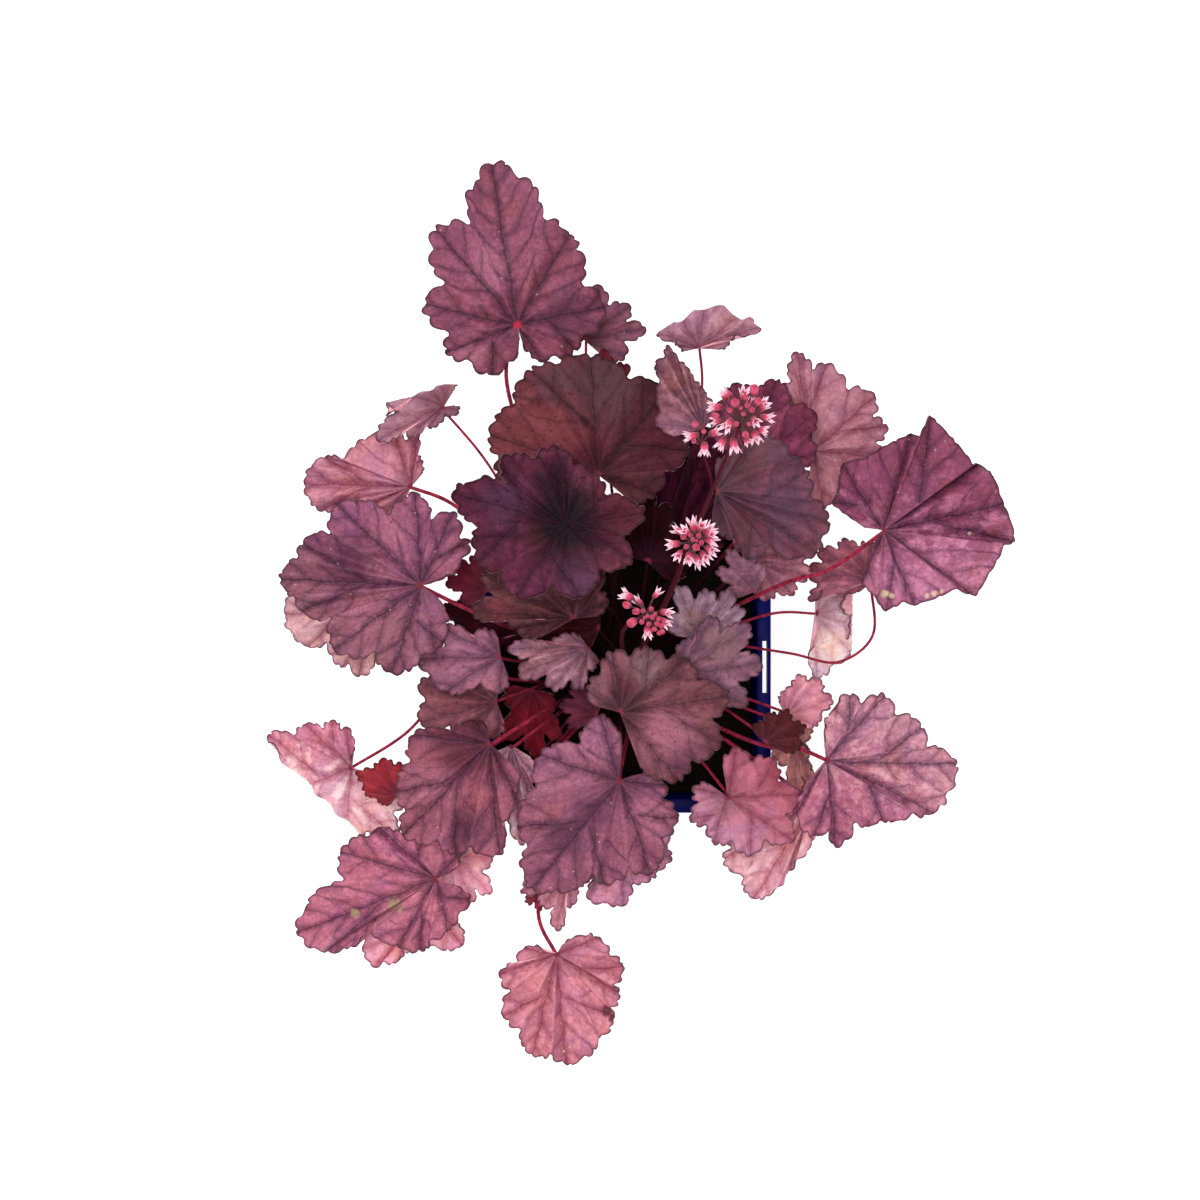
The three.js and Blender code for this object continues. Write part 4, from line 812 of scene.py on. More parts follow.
# shares of a blade's own red, green and blue
bladeShares = {
    "light": (1.14, 1.2, 1.16),
    "violet": (0.94, 0.98, 1.14),
    "brown": (1.06, 1.02, 0.82),
    "deep": (0.74, 0.66, 0.76),
    "band": (0.6, 0.54, 0.64),
    "line": (0.42, 0.36, 0.46),
    "redband": (0.76, 0.57, 0.65),
    "redline": (0.6, 0.36, 0.45),
    "margin": (0.48, 0.32, 0.42),
}
# how strongly veins show, how far light and deep shades lie apart, and the kind of vein colour
leafLooks = {"mauve": (1.0, 1.1, ""), "pink": (0.85, 1.0, "red"), "grey": (0.6, 1.9, ""), "dark": (0.5, 2.1, ""),
             "bronze": (0.55, 2.1, ""), "red": (0.45, 1.3, "red")}
crownShade = {"middle": (-5, 45), "halves": (55, 85)}  # the ellipse in which stalks lie in shade, in plan
veinDrawing = {
    "width": 0.9, "tipWidth": 0.45, "forkWidth": 0.62, "sideWidth": 0.25,
    "sway": 2.6, "drift": 7.0,    # how far main veins and side veins wander
    "net": 3.6, "netWarp": 1.2,   # size of the fine net's cells, and how uneven they are
}
bladeNoise = {  # scale, detail and roughness
    "sway": (95, 2, 0.5), "drift": (110, 2, 0.5), "grain": (800, 3, 0.75), "mottle": (420, 4, 0.75),
    "blotch": (150, 4, 0.65), "cloud": (38, 3, 0.55), "hue": (62, 4, 0.7), "patch": (330, 5, 0.75),
    "fine": (900, 3, 0.65),
}
# how deep each vein mask lies in the blade's relief, and how strongly its shade covers the tone; beside the side
# veins the troughs' shade is painted shade
veinRelief = {"Line": 0.18, "Band": 0.38, "Side": 0.1, "Trough": 0.3, "Net": 0.1}
veinCover = {"Band": 0.95, "Trough": 0.5, "Net": 0.2, "Side": 0.32, "Line": 0.55}
# Shades that lie over the tone in patches: the mask, where it begins and is full, how much it then covers, the shade.
tonePatches = [("Hue", 0.55, 0.3, 0.8, "violet"), ("Hue", 0.5, 0.72, 0.8, "brown")]
blotchPatches = [("Patch", 0.46, 0.3, 0.7, "deep"), ("Patch", 0.56, 0.74, 0.6, "light"),
                 ("Grain", 0.42, 0.3, 0.55, "deep"), ("Grain", 0.6, 0.74, 0.6, "light")]
# Clouds and spots, real stains and painted shade: how much they cover, the scale of their uneven edge, and where that
# begins and ends, as shares of a radius.
stainAndShadeEdges = {"clouds": (0.8, 130, 0.3, 1.5), "spots": (0.85, 420, 0.5, 1.0)}


def drawVeins():
    # One node group for every blade. The map "veins" has the mm along and across a lobe's own vein, "fork" the same
    # for a branch vein that crosses it, and "rim" the share of the vein's length and the mm to the rim. Each vein is
    # a fine dark line in a wide soft band, and the side veins are a herringbone on both sides of it.
    group = bpy.data.node_groups.new("leafVeins", "ShaderNodeTree")
    nodes = Nodes(group)
    place = nodes.object()

    def mapped(title):
        return nodes.split(nodes.add("ShaderNodeUVMap", uv_map=title).outputs[0])
    veins, fork, rim = mapped("veins"), mapped("fork"), mapped("rim")
    away = nodes.stored("away")
    noise = {name: nodes.noise(place, *settings) for name, settings in bladeNoise.items()}
    sway, drift = (nodes.times(nodes.less(noise[name], 0.5), veinDrawing[name]) for name in ("sway", "drift"))
    mottle = nodes.step(noise["mottle"], 0.36, 0.62, 0.4, 1.0)

    def drawn(along, across, width, gate):
        # The line and the band of one vein.
        beside = nodes.math("ABSOLUTE", nodes.plus(across, sway))
        line = nodes.step(beside, nodes.times(width, 0.1), nodes.times(width, 0.75), 1.0, 0.0)
        band = nodes.step(beside, nodes.times(width, 0.2), nodes.plus(nodes.times(width, 3.2), 0.9), 1.0, 0.0)
        begun = nodes.step(along, 0.0, gate)
        return nodes.times(line, begun), nodes.times(band, begun)
    ends = {"Value": rim[0], "To Min": veinDrawing["width"], "To Max": veinDrawing["tipWidth"]}
    width = nodes.add("ShaderNodeMapRange", ends).outputs[0]
    line, band = drawn(veins[0], veins[1], width, 2.0)
    forkLine, forkBand = drawn(fork[0], fork[1], veinDrawing["forkWidth"], 4.0)
    line = nodes.math("MAXIMUM", line, forkLine)
    band = nodes.math("MAXIMUM", band, nodes.times(forkBand, 0.85))
    across = nodes.plus(veins[1], sway)
    beside = nodes.math("ABSOLUTE", across)
    other = nodes.times(nodes.math("GREATER_THAN", across, 0.0), 0.5)
    slope = nodes.plus(nodes.times(beside, leafShape["veinCurve"]), leafShape["veinSlope"])
    origin = nodes.less(nodes.plus(veins[0], drift), nodes.times(beside, slope))
    turns = nodes.math("DIVIDE", origin, leafShape["veinSpacing"])
    saw = nodes.math("FRACT", nodes.plus(turns, nodes.plus(other, 100.5)))
    aside = nodes.times(nodes.math("ABSOLUTE", nodes.less(saw, 0.5)), 0.64 * leafShape["veinSpacing"])
    begun = nodes.step(origin, 1.5, 7.0)
    thin = veinDrawing["sideWidth"]
    side = nodes.times(nodes.step(aside, 0.3 * thin, 2.0 * thin, 1.0, 0.0), begun)
    # painted shade: the troughs beside the side veins, which also sink in the relief, darken the blade's colour
    troughWidth = nodes.step(beside, 0.0, 16.0, 2.6, 1.2)
    troughShade = nodes.times(nodes.step(aside, 0.1, troughWidth, 0.8, 0.0), begun)
    shift = nodes.add("ShaderNodeTexNoise", {"Vector": place, "Scale": 300.0}).outputs["Color"]
    warped = nodes.vector("ADD", place, nodes.vector("MULTIPLY", shift, (veinDrawing["netWarp"] * mm,) * 3))
    cells = nodes.add("ShaderNodeTexVoronoi", {"Vector": warped, "Scale": 1000 / veinDrawing["net"]},
                      feature="DISTANCE_TO_EDGE").outputs["Distance"]
    net = nodes.step(cells, 0.02, 0.16, 1.0, 0.0)
    margin = nodes.step(rim[1], 0.3, 1.5, 1.0, 0.0)
    joint = nodes.step(away, 0.9, 2.3, 1.0, 0.0)
    blotch = nodes.step(noise["blotch"], 0.4, 0.66)
    cloud = nodes.step(noise["cloud"], 0.4, 0.64)
    flecks = nodes.add("ShaderNodeTexVoronoi", {"Vector": place, "Scale": 190.0}).outputs
    chosen = nodes.math("GREATER_THAN", nodes.split(flecks["Color"])[0], 0.55)
    speck = nodes.times(nodes.step(flecks["Distance"], 0.05, 0.1, 1.0, 0.0), chosen)
    masks = dict(Line=line, Band=band, Side=side, Trough=troughShade, Net=net, Margin=margin, Joint=joint, Blotch=blotch,
                 Cloud=cloud, Hue=noise["hue"], Speck=speck, Patch=noise["patch"], Grain=noise["grain"])
    height = nodes.plus(nodes.times(noise["fine"], 0.24), nodes.times(noise["patch"], 0.5))
    for name, depth in veinRelief.items():
        height = nodes.less(height, nodes.times(masks[name], depth))
    masks.update(Band=nodes.times(band, mottle), Trough=nodes.times(troughShade, mottle), Height=height)
    for name in masks:
        group.interface.new_socket(name, in_out="OUTPUT", socket_type="NodeSocketFloat")
    nodes.add("NodeGroupOutput", masks)
    return group


def around(nodes, x, y, radius, scale, near, far):
    # 1 round a place as seen from above, fading out from near to far times the radius, with an uneven edge.
    place = nodes.object()
    flat = nodes.vector("MULTIPLY", place, (1.0, 1.0, 0.0))
    gap = nodes.vector("DISTANCE", flat, (x * mm, y * mm, 0.0))
    ragged = nodes.times(nodes.less(nodes.noise(place, scale, 3), 0.5), radius * mm)
    return nodes.step(nodes.plus(gap, ragged), near * radius * mm, far * radius * mm, 1.0, 0.0)


def bladeMaterial(name, leaf, veins):
    # The tone in soft clouds, some of them painted shade; lighter blotches between the veins, partly the blade's own
    # paler tissue and partly painted highlight on its pillows; a grey-purple shade along the veins, which is painted
    # shade in the troughs beside the side veins; the veins, a darker heart round the stalk that is partly painted
    # shade, and a thin dark rim.
    material, nodes, shader = newMaterial(name)
    found = nodes.add("ShaderNodeGroup", node_tree=veins).outputs
    strength, spread, lines = leafLooks[leaf["look"]]
    second = nodes.stored("second")
    first = leaf["tone"]
    last = leaf["to"][1:] if leaf["to"] else first
    second = nodes.plus(second, nodes.times(nodes.less(found["Blotch"], 0.5), 0.35))
    toward = nodes.step(second, 0.15, 0.85)
    tone = nodes.blend(toward, tint(*first), tint(*last))

    def shade(part, reach=1.0):
        share = 1 + reach * (np.array(bladeShares[part]) - 1)
        return nodes.blend(toward, *[tint(*np.minimum(np.array(end) * share, 250)) for end in (first, last)])

    def mottled(colour, rows):
        for mask, low, high, most, part in rows:
            colour = nodes.blend(nodes.step(found[mask], low, high, 0.0, most), colour, shades[part])
        return colour

    # Lays round patches of colour on the blade: real stains and marks, and clouds of which some are painted shade.
    def stainedAndShaded(colour, kind):
        cover, *edge = stainAndShadeEdges[kind]
        for x, y, radius, patchColour in leaf[kind]:
            mask = nodes.times(around(nodes, x, y, radius, *edge), cover)
            colour = nodes.blend(mask, colour, tint(*leafColour[patchColour]))
        return colour
    shades = {part: shade(part) for part in ("violet", "brown", "margin")}
    shades.update(light=shade("light", spread), deep=shade("deep", spread))
    band, line = shade(lines + "band"), shade(lines + "line")
    colour = nodes.blend(nodes.times(found["Cloud"], 0.7), tone, shades["deep"])
    colour = mottled(colour, tonePatches)
    # painted highlight, partly: away from the veins the blade turns lighter, partly its own paler tissue and partly
    # light on the pillows between the veins
    pillowPaleAndLit = nodes.times(nodes.less(1.0, found["Band"]), nodes.less(1.0, found["Trough"]))
    pillowPaleAndLit = nodes.times(pillowPaleAndLit, nodes.step(found["Blotch"], 0.0, 1.0, 0.25, 0.9))
    colour = stainedAndShaded(nodes.blend(pillowPaleAndLit, colour, shades["light"]), "clouds")
    colour = mottled(colour, blotchPatches)
    away = nodes.stored("away")
    # painted shade, partly: round the stalk the blade goes to its heart colour, partly the leaf's own dark middle and
    # partly the shade where it sinks round the stalk
    core = nodes.step(away, 0.15 * leaf["heartSize"], leaf["heartSize"], leaf["core"], 0.0)
    colour = nodes.blend(core, colour, tint(*leaf["heart"]))
    for mask, share in veinCover.items():
        shadow = band if mask in ("Band", "Trough") else line
        colour = nodes.blend(nodes.times(found[mask], share * strength * leaf["calm"]), colour, shadow)
    colour = nodes.blend(nodes.times(found["Margin"], 0.75), colour, shades["margin"])
    if leaf["look"] in ("mauve", "pink"):
        colour = nodes.blend(nodes.times(found["Speck"], 0.4), colour, tint(*leafColour["speck"]))
    colour = nodes.blend(found["Joint"], colour, tint(*leaf["joint"]))
    colour = stainedAndShaded(colour, "spots")
    rough = (found["Grain"], 0.2, 0.8, 0.48, 0.64)
    dress(nodes, shader, colour, rough, found["Height"], leaf["calm"], shine=leaf["shine"])
    return material


def underMaterial(name, veins, main, patches):
    # The underside: paler and redder, with its veins raised and light.
    material, nodes, shader = newMaterial(name)
    found = nodes.add("ShaderNodeGroup", node_tree=veins).outputs
    colour = nodes.blend(found["Blotch"], tint(*leafColour[main]), tint(*leafColour[patches]))
    raised = nodes.math("MAXIMUM", found["Line"], nodes.times(found["Side"], 0.7))
    colour = nodes.blend(nodes.times(raised, 0.55), colour, tint(*leafColour["underVein"]))
    colour = nodes.blend(nodes.times(found["Margin"], 0.9), colour, tint(*leafColour["underMargin"]))
    dress(nodes, shader, colour, (found["Grain"], 0.2, 0.8, 0.5, 0.66), nodes.less(0.0, found["Height"]), 0.8, 0.9)
    return material


def stalkMaterial(name, colour, dark, foot):
    # Crimson to maroon, with long streaks and fine down, and nearly black where it stands in the crown: painted
    # shade.
    material, nodes, shader = newMaterial(name)
    place = nodes.object()
    streaks = nodes.noise(place, 260, 4, 0.7)
    grain = nodes.noise(place, 2200, 2)
    tone = nodes.blend(nodes.step(streaks, 0.35, 0.65), tint(*dark), tint(*colour))
    downy = mix(np.array(colour), np.array(leafColour["down"]), 0.5)
    tone = nodes.blend(nodes.step(grain, 0.55, 0.8, 0.0, 0.4), tone, tint(*downy))
    # painted shade: inside the crown's ellipse the stalk takes the near-black colour given as foot
    (x, y), (wide, deep) = crownShade["middle"], crownShade["halves"]
    flat = nodes.vector("MULTIPLY", place, (1 / wide, 1 / deep, 0.0))
    apart = nodes.vector("DISTANCE", flat, (x * mm / wide, y * mm / deep, 0.0))
    tone = nodes.blend(nodes.step(apart, 0.75 * mm, 1.08 * mm), tint(*leafColour[foot]), tone)
    dress(nodes, shader, tone, (grain, 0.3, 0.7, 0.4, 0.6), nodes.plus(streaks, grain), 0.25, 0.8, 0.03)
    return material


leafDefaults = dict(lift=-0.1, cup=-0.08, wave=0.03, cut=0.78, folds=[], via=[], ends=None, to=None, spots=[],
                    clouds=[], calm=1, tooth=6.2, bite=1.25, round=1, minor=(), heartSize=13, shine=0.2, core=0.45,
                    heart=(62, 26, 46), joint=(112, 34, 54))
leaves = [{**leafDefaults, "teeth": len(row["tips"]) > 7, **row} for row in leaves]
for leaf in leaves:
    sumX, sumY = (sum(tip[k] for tip in leaf["tips"]) for k in (0, 1))
    leaf["heading"] = np.arctan2(sumY, sumX)
    leaf["length"] = max(np.hypot(tip[0], tip[1]) for tip in leaf["tips"])
    leaf["calm"] *= np.clip(leaf["length"] / 48, 0.45, 1)

leafVeins = drawVeins()
undersides = {False: underMaterial("leafUnderside", leafVeins, "under", "underPatch"),
              True: underMaterial("pinkUnderside", leafVeins, "underPink", "underPinkPatch")}
leafStalk = stalkMaterial("leafStalk", leafColour["stalk"], leafColour["stalkDark"], "stalkCrownShade")
roots = rootPlaces([leaf["at"] for leaf in leaves] + [spray["via"][0] for spray in sprays])
for i, leaf in enumerate(leaves):
    name = f"leaf_{i + 1:02d}"
    mesh = leafMesh(leaf, leafStem(leaf, roots[i]), i)
    finishes = [bladeMaterial(f"blade{i + 1:02d}", leaf, leafVeins), undersides[leaf["look"] == "pink"], leafStalk]
    addPiece(f"heucheraLeaf{i + 1:02d}", mesh, finishes, name)
say(f"{len(leaves)} leaves")


floretShape = {
    "bell": 5.4, "bud": 3.4, "sides": 20, "lobes": 5, "fingers": 0.42, "spread": 0.22,
    "turns": (-9, 9), "lengths": (0.86, 1.14), "widths": (0.9, 1.05),  # how much the bells differ
}
scapeShape = {
    "steps": 70, "sides": 12, "radius": (1.25, 0.7),
    "branchSides": 10, "branchRadius": (0.75, 0.5), "branchStart": (0.15, 0.3),
    "bellStalk": 0.36, "bellDrop": 3.5, "budStalk": 0.3, "budDrop": 4.5,  # radius, and how far under it branches off
}
# Outer skin from its foot to the flared tips and back down inside: radius, height as a share, share of the flare.
bellProfile = [(0.2, 0, 0), (0.72, 0.03, 0), (1.08, 0.12, 0), (1.3, 0.26, 0), (1.34, 0.42, 0.05), (1.32, 0.58, 0.2),
               (1.42, 0.72, 0.5), (1.64, 0.86, 0.85), (1.98, 1.0, 1), (1.88, 1.01, 1), (1.48, 0.87, 0.85),
               (1.2, 0.72, 0.5), (1.08, 0.56, 0.1), (0.9, 0.36, 0), (0.4, 0.28, 0)]
budProfile = [(0.2, 0, 0), (0.75, 0.08, 0), (1.08, 0.26, 0.1), (1.2, 0.48, 0.3), (1.1, 0.7, 0.45), (0.72, 0.9, 0.45),
              (0.26, 0.99, 0.1)]


def turnedFloret(profile, length, width, place, direction, turn):
    # A turned shape round a direction: radius * (1 + spread * flare * star), where star = cos(lobes * turn); between
    # the lobes the rim is cut back by fingers * flare * (1 - star). A pole closes each end.
    profile, sides = np.array(profile), floretShape["sides"]
    radius, height, flare = profile[:, :1] * width, profile[:, 1:2] * length, profile[:, 2:]
    a = np.arange(sides) * 2 * np.pi / sides + turn
    star = np.cos(floretShape["lobes"] * (a - turn))
    radius = radius * (1 + floretShape["spread"] * flare * star)
    height = height - floretShape["fingers"] * length * flare * (1 - star) / 2
    z = unit(np.asarray(direction, float))
    x = unit(np.cross(z, [0.3, 0.2, 1.0] if abs(z[2]) < 0.9 else [1.0, 0, 0]))
    y = np.cross(z, x)
    ring = (radius * np.cos(a))[..., None] * x + (radius * np.sin(a))[..., None] * y + height[..., None] * z
    points = np.vstack([(place + ring).reshape(-1, 3), [place + height[0, 0] * z], [place + height[-1].mean() * z]])
    share = np.concatenate([np.repeat(profile[:, 1], sides), profile[[0, -1], 1]])
    return points, closedSkin(len(profile), sides, turned=True), share


flowerColour = {
    "foot": (120, 6, 36), "body": (208, 58, 104), "flare": (250, 208, 224),
    "budFoot": (74, 4, 22), "bud": (206, 64, 104), "budTip": (176, 34, 68),
    "stem": (112, 34, 54), "stemDark": (70, 18, 34),
}


def floretMaterial():
    # Rose red at the foot, pink on the body and nearly white at the flared tips. A bud goes from dark crimson at its
    # foot to rose round its sides and darker again on its top, a painted ring highlight.
    material, nodes, shader = newMaterial("floret")
    place = nodes.object()
    rise = nodes.stored("rise")
    rise = nodes.plus(rise, nodes.times(nodes.less(nodes.noise(place, 500), 0.5), 0.3))
    shades = {name: tint(*colour) for name, colour in flowerColour.items()}
    colour = nodes.blend(nodes.step(rise, 0.06, 0.5), shades["foot"], shades["body"])
    colour = nodes.blend(nodes.step(rise, 0.46, 0.96), colour, shades["flare"])
    bud = nodes.stored("bud")
    # painted highlight: the lighter rose band round a bud's sides, between its dark foot and darker top
    red = nodes.blend(nodes.step(rise, 0.1, 0.6), shades["budFoot"], shades["bud"])
    red = nodes.blend(nodes.step(rise, 0.72, 0.98), red, shades["budTip"])
    colour = nodes.blend(bud, colour, red)
    grain = nodes.noise(place, 2600, 2)
    dress(nodes, shader, colour, (grain, 0.3, 0.7, 0.45, 0.65), grain, 0.18, 0.7)
    shader["Sheen Weight"].default_value = 0.15
    return material


def pedicel(axis, foot, width):
    # A thin bowed stalk from the head's axis to the foot of a floret.
    bend = mix(axis, foot, 0.55) + np.array([0, 0, -0.08 * np.linalg.norm(foot - axis)])
    points, faces = tube(smoothPath([axis, bend, foot], 5), width, 6)
    return points, faces, np.zeros(len(points)), True


def headFlorets(head, draw):
    # Bells point along their bearing and slant; a bud points away from the head's axis. Each has its own pedicel.
    middle = overRim(head["at"])
    shapes = []
    for x, y, z, bearing, slant, size in head["bells"]:
        b, t = (bearing + draw.uniform(*floretShape["turns"])) * degree, slant * degree
        direction = np.array([*np.sin(t) * onCircle(b), np.cos(t)])
        foot = middle + np.array([x, y, z])
        reach = floretShape["bell"] * size * draw.uniform(*floretShape["lengths"])
        width = size * draw.uniform(*floretShape["widths"])
        shapes.append((*turnedFloret(bellProfile, reach, width, foot, direction, draw.uniform(0, 6)), False))
        axis = middle + np.array([0.1 * x, 0.1 * y, z - scapeShape["bellDrop"]])
        shapes.append(pedicel(axis, foot + direction * 0.4, scapeShape["bellStalk"]))
    for x, y, z, size in head["buds"]:
        direction = unit(np.array([x, y, 0.6 * z + 5.0]))
        foot = middle + np.array([x, y, z]) - direction * 1.6 * size
        reach = floretShape["bud"] * size
        shapes.append((*turnedFloret(budProfile, reach, size, foot, direction, draw.uniform(0, 1)), True))
        axis = middle + np.array([0.1 * x, 0.1 * y, z - scapeShape["budDrop"]])
        shapes.append(pedicel(axis, foot + direction * 0.3, scapeShape["budStalk"]))
    return shapes


def sprayMesh(spray, root, seed):
    # A tapering stem along its smooth path, a branch from it to each further head, and the florets of every head.
    draw = np.random.default_rng(seed)
    way = [overRim(point) for point in spray["via"]][::-1]
    top = overRim(spray["heads"][0]["at"])
    steps = scapeShape["steps"]
    stem = stemLine(root, [*way, top], steps)
    shapes = [(*tube(stem, np.linspace(*scapeShape["radius"], steps), scapeShape["sides"]), None, None)]
    for head in spray["heads"][1:]:
        fork = way[-1]
        start = [mix(fork, top, share) for share in scapeShape["branchStart"]]
        branch = smoothPath([*start, overRim(head["at"])], 12)
        radius = np.linspace(*scapeShape["branchRadius"], len(branch))
        shapes.append((*tube(branch, radius, scapeShape["branchSides"]), None, None))
    stems = len(shapes)
    for head in spray["heads"]:
        shapes += headFlorets(head, draw)
    points, faces = joined([(shape[0], shape[1]) for shape in shapes])
    rise = np.concatenate([np.zeros(len(s[0])) if s[2] is None else s[2] for s in shapes])
    bud = np.concatenate([np.full(len(s[0]), 1.0 if s[3] else 0.0) for s in shapes])
    slots = [0 if i < 2 * stems else 1 for i in range(len(faces))]
    return makeMesh("spray", points, faces, None, slots, {"rise": rise, "bud": bud}, sharp=70)


floret = floretMaterial()
scapeSkin = stalkMaterial("flowerStem", flowerColour["stem"], flowerColour["stemDark"], "scapeCrownShade")
for i, spray in enumerate(sprays):
    mesh = sprayMesh(spray, roots[len(leaves) + i], i)
    addPiece(f"heucheraFlowers{i + 1}", mesh, [scapeSkin, floret], f"flowers_{i + 1}")
say("flowers")


pot = {
    "height": 115, "rimHalf": 65, "rimDepth": 9, "skirtWall": 1.4, "lipHalf": 58.6, "wall": 1.4, "topHalf": 60,
    "baseHalf": 44, "floor": 2, "cornerShare": 0.16, "corner": 10, "edge": 12,
    "drainRadius": 5, "drainAt": 26, "slotLength": 23, "slotWidth": 2.2, "slotInset": 2.7,
    "navy": (2, 2, 70), "cobalt": (6, 8, 95), "dust": (96, 94, 130),
}


def squareRing(half, z, corner, edge):
    # A ring round a square with round corners: corner points on each quarter circle, edge points on each side.
    radius = half * pot["cornerShare"]
    turn = np.linspace(0, np.pi / 2, corner + 1)
    arc = onCircle(turn) * radius + (half - radius)
    side = np.stack([np.linspace(half - radius, -(half - radius), edge + 1)[1:-1], np.full(edge - 1, half)], 1)
    quarter = np.vstack([arc, side])
    quarterTurn = np.array([[0, 1], [-1, 0]])
    ring = np.vstack([quarter @ np.linalg.matrix_power(quarterTurn, k) for k in range(4)])
    return np.hstack([ring, np.full((len(ring), 1), float(z))])


def skinned(rings):
    # Skins a stack of rings and closes both ends with a fan round their middles.
    points = np.vstack(rings + [rings[0].mean(axis=0)[None], rings[-1].mean(axis=0)[None]])
    return points, closedSkin(len(rings), len(rings[0]), turned=True)


def cutter(rings):
    # An object for a Boolean cut only; potMesh removes it again.
    return linked("cutter", makeMesh("cutter", *skinned(rings)))


def prism(outline, low, high):
    # A straight cutter with one outline, from low to high.
    return cutter([np.hstack([outline, np.full((len(outline), 1), z)]) for z in (low, high)])


def potMesh():
    # The moulded shell: outer wall, the rim's skirt turned down round it, the lip and the inside, as one profile of
    # half widths and heights. The tag slots and the drain holes are cut through it.
    h, rim, lip, top = pot["height"], pot["rimHalf"], pot["lipHalf"], pot["topHalf"]
    wall, skirt, base, foot = pot["wall"], pot["skirtWall"], pot["baseHalf"], pot["floor"]
    low = h - pot["rimDepth"]
    profile = [(base - 3, 0), (base - 0.5, 0.15), (base, 0.8), (mix(base, top, 0.5), mix(0, low, 0.5)), (top, low),
               (top, h - wall - 0.4), (top + 0.4, h - wall), (rim - skirt - 0.3, h - wall),
               (rim - skirt, h - wall - 0.3), (rim - skirt, low + 0.2), (rim - skirt + 0.3, low), (rim - 0.3, low),
               (rim, low + 0.3), (rim, h - 0.8), (rim - 0.25, h - 0.25), (rim - 0.8, h), (lip + 0.8, h),
               (lip + 0.2, h - 0.25), (lip, h - 0.9), (lip, low), (base - wall, foot + 0.8),
               (base - wall - 0.8, foot)]
    shell = cutter([squareRing(half, z, pot["corner"], pot["edge"]) for half, z in profile])
    tools = []
    for side in (-1, 1):
        x, y = np.array([-0.5, 0.5]) * pot["slotWidth"], pot["slotLength"] / 2
        middle = side * (rim - pot["slotInset"])
        outline = np.array([[x[1], -y], [x[1], y], [x[0], y], [x[0], -y]]) + [middle, 0]
        tools.append(prism(outline, h - 4.0, h + 4.0))
    ring = pot["drainRadius"] * onCircle(np.arange(32) * np.pi / 16)
    for corner in ((1, 1), (-1, 1), (-1, -1), (1, -1)):
        tools.append(prism(ring + np.array(corner) * pot["drainAt"], -3.0, 5.0))
    for tool in tools:
        cut = shell.modifiers.new("cut", "BOOLEAN")
        cut.object, cut.operation, cut.solver = tool, "DIFFERENCE", "EXACT"
    made = bpy.data.meshes.new_from_object(shell.evaluated_get(bpy.context.evaluated_depsgraph_get()))
    for shape in [shell, *tools]:
        bpy.data.objects.remove(shape)
    made.materials.clear()
    made.shade_smooth()
    made.set_sharp_from_angle(angle=38 * degree)
    return made


def potMaterial():
    # Dark cobalt plastic with moulding grain, faint scuffs and dust.
    material, nodes, shader = newMaterial("potPlastic")
    place = nodes.object()
    flow = nodes.noise(place, 30, 3)
    grain = nodes.noise(place, 1500, 2)
    colour = nodes.blend(nodes.step(flow, 0.3, 0.7), tint(*pot["navy"]), tint(*pot["cobalt"]))
    dust = nodes.step(nodes.noise(place, 140, 5, 0.7), 0.6, 0.84, 0.0, 0.06)
    colour = nodes.blend(dust, colour, tint(*pot["dust"]))
    dress(nodes, shader, colour, (flow, 0.2, 0.8, 0.36, 0.52), grain, 0.12, 0.6, 0.06)
    return material


addPiece("nurseryPot", potMesh(), [potMaterial()], "pot")
say("pot")


soil = {
    "top": 101, "mound": 5, "gap": 0.4, "bottom": 2.4, "rings": 46, "corner": 8, "edge": 30,
    "crumb": 1.1, "lumps": [(6, 0.9), (2.6, 0.7), (1.3, 0.4)],  # size and height
    "waves": (0.9, 0.31, 0.27),                                 # height, and turns for each mm of x and y
    # painted shade, partly: the peat colour is near black for the shade under the leaves inside the pot
    "peatAndShade": (8, 4, 5), "clod": (22, 12, 12), "fibre": (52, 34, 28),
}


def soilMesh():
    # Square rings shrink to the middle: level = top + mound * (1 - share^2), with lumps of three sizes on it.
    def inside(z):
        low, high = pot["baseHalf"] - pot["wall"], pot["lipHalf"]
        return mix(low, high, (z - pot["floor"]) / (pot["height"] - pot["rimDepth"] - pot["floor"])) - soil["gap"]

    def ringAt(half, z):
        return squareRing(half, z, soil["corner"], soil["edge"])
    rings = [ringAt(inside(z), z) for z in (soil["bottom"], soil["top"] - 1.5)]
    tall, alongX, alongY = soil["waves"]
    for share in np.linspace(1, 0.02, soil["rings"]):
        ring = ringAt((inside(soil["top"]) - 0.4) * share, 0)
        x, y = ring[:, 0], ring[:, 1]
        waves = tall * np.sin(alongX * x + 1) * np.cos(alongY * y)
        ring[:, 2] = soil["top"] + soil["mound"] * (1 - share**2) + waves
        inward = min(1, 4 * (1 - share) + 0.3)
        for seed, (size, height) in enumerate(soil["lumps"]):
            ring[:, 2] += soil["crumb"] * height * noiseAt(ring * [1, 1, 0], size, seed + 1) * inward
        rings.append(ring)
    return makeMesh("soil", *skinned(rings), sharp=60)


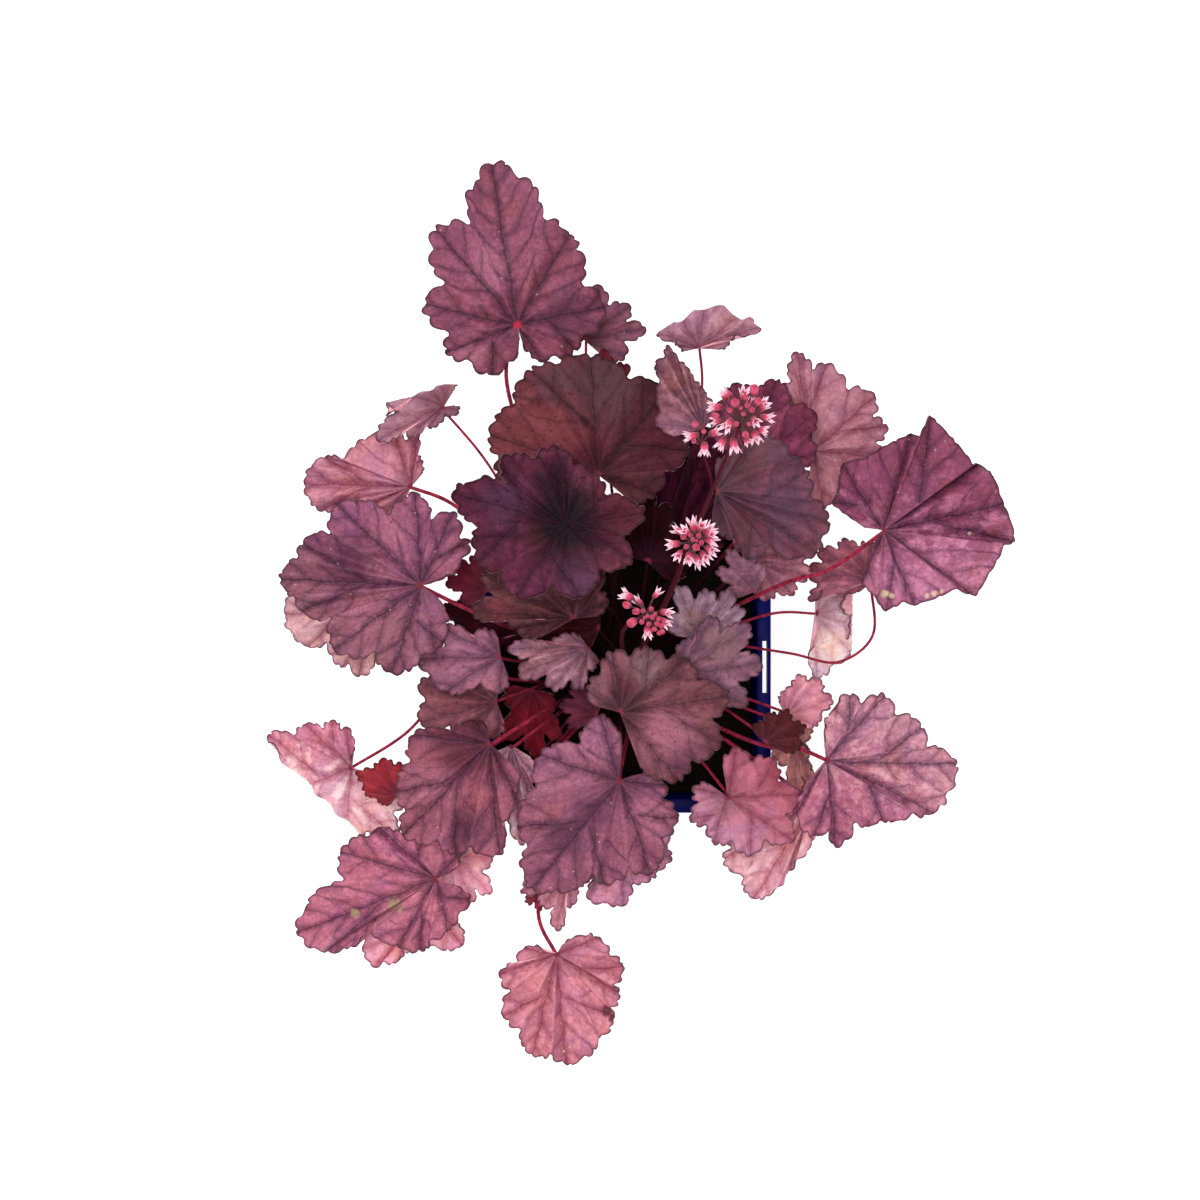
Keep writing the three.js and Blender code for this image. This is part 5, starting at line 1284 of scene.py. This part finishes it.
def soilMaterial():
    # Compost with brown fibres and crumbs, nearly black: partly its own dark colour and partly painted shade of the
    # pot's inside.
    material, nodes, shader = newMaterial("compost")
    place = nodes.object()
    crumbs = nodes.add("ShaderNodeTexVoronoi", {"Vector": place, "Scale": 520.0}).outputs
    lumps = nodes.noise(place, 170, 5, 0.7)
    fibres = nodes.noise(nodes.vector("MULTIPLY", place, (1.0, 5.0, 1.0)), 380, 3, 0.6)
    colour = nodes.blend(nodes.step(lumps, 0.35, 0.65), tint(*soil["peatAndShade"]), tint(*soil["clod"]))
    colour = nodes.blend(nodes.step(fibres, 0.64, 0.72, 0.0, 0.6), colour, tint(*soil["fibre"]))
    height = nodes.less(lumps, nodes.times(crumbs["Distance"], 0.6))
    dress(nodes, shader, colour, (lumps, 0.3, 0.7, 0.85, 0.98), height, 1.4, shine=0.1)
    return material


addPiece("compostSoil", soilMesh(), [soilMaterial()], "soil")
say("soil")


studio = {
    "floorHalf": 1600,
    "floorGreys": (0.93, 0.96),
    "floorGlow": 0.45,
    "world": 0.6,
    "lamps": [  # place, width, power
        ((-0.3, 0.5, 4.2), 2.0, 100),
        ((-1.1, 1.2, 1.7), 1.5, 14),
        ((1.0, -1.3, 1.6), 1.5, 8),
    ],
    "cameraPlace": (-0.0111, 0.0298, 1.015),
    "frameWidth": 0.534,  # what the camera sees across at the pot's rim
}


def floorMaterial():
    material, nodes, shader = newMaterial("paleFloor")
    soft = nodes.noise(nodes.object(), 6, 3)
    nodes.plug(shader["Base Color"], nodes.blend(soft, *[(grey, grey, grey, 1) for grey in studio["floorGreys"]]))
    nodes.plug(shader["Roughness"], 0.75)
    shader["Emission Color"].default_value = (1, 1, 1, 1)
    shader["Emission Strength"].default_value = studio["floorGlow"]
    return material


half = studio["floorHalf"]
floorGrid = np.array([[x, y, 0.0] for x in (-half, half) for y in (-half, half)])
floor = linked("floor", makeMesh("floor", floorGrid, [np.array([[0, 2, 3, 1]])]))
floor.data.materials.append(floorMaterial())

world = bpy.data.worlds.new("studio")
world.use_nodes = True
background = world.node_tree.nodes["Background"].inputs
background["Color"].default_value = (1, 1, 1, 1)
background["Strength"].default_value = studio["world"]
bpy.context.scene.world = world

for place, width, power in studio["lamps"]:
    light = bpy.data.lights.new("softbox", "AREA")
    light.size, light.energy = width, power
    lamp = linked("softbox", light)
    lamp.location = place
    aim = np.array([0, 0, 0.15]) - np.array(place)
    pan, tilt = np.arctan2(aim[1], aim[0]), np.arctan2(np.hypot(aim[0], aim[1]), -aim[2])
    lamp.rotation_euler = (tilt, 0, pan - np.pi / 2)

camera = bpy.data.cameras.new("camera")
camera.sensor_width = 36
camera.lens = 36 * (studio["cameraPlace"][2] - pot["height"] * mm) / studio["frameWidth"]
eye = linked("camera", camera)
eye.location = studio["cameraPlace"]
bpy.context.scene.camera = eye
bpy.context.scene.view_settings.view_transform = "Standard"
say("floor, lights and camera")
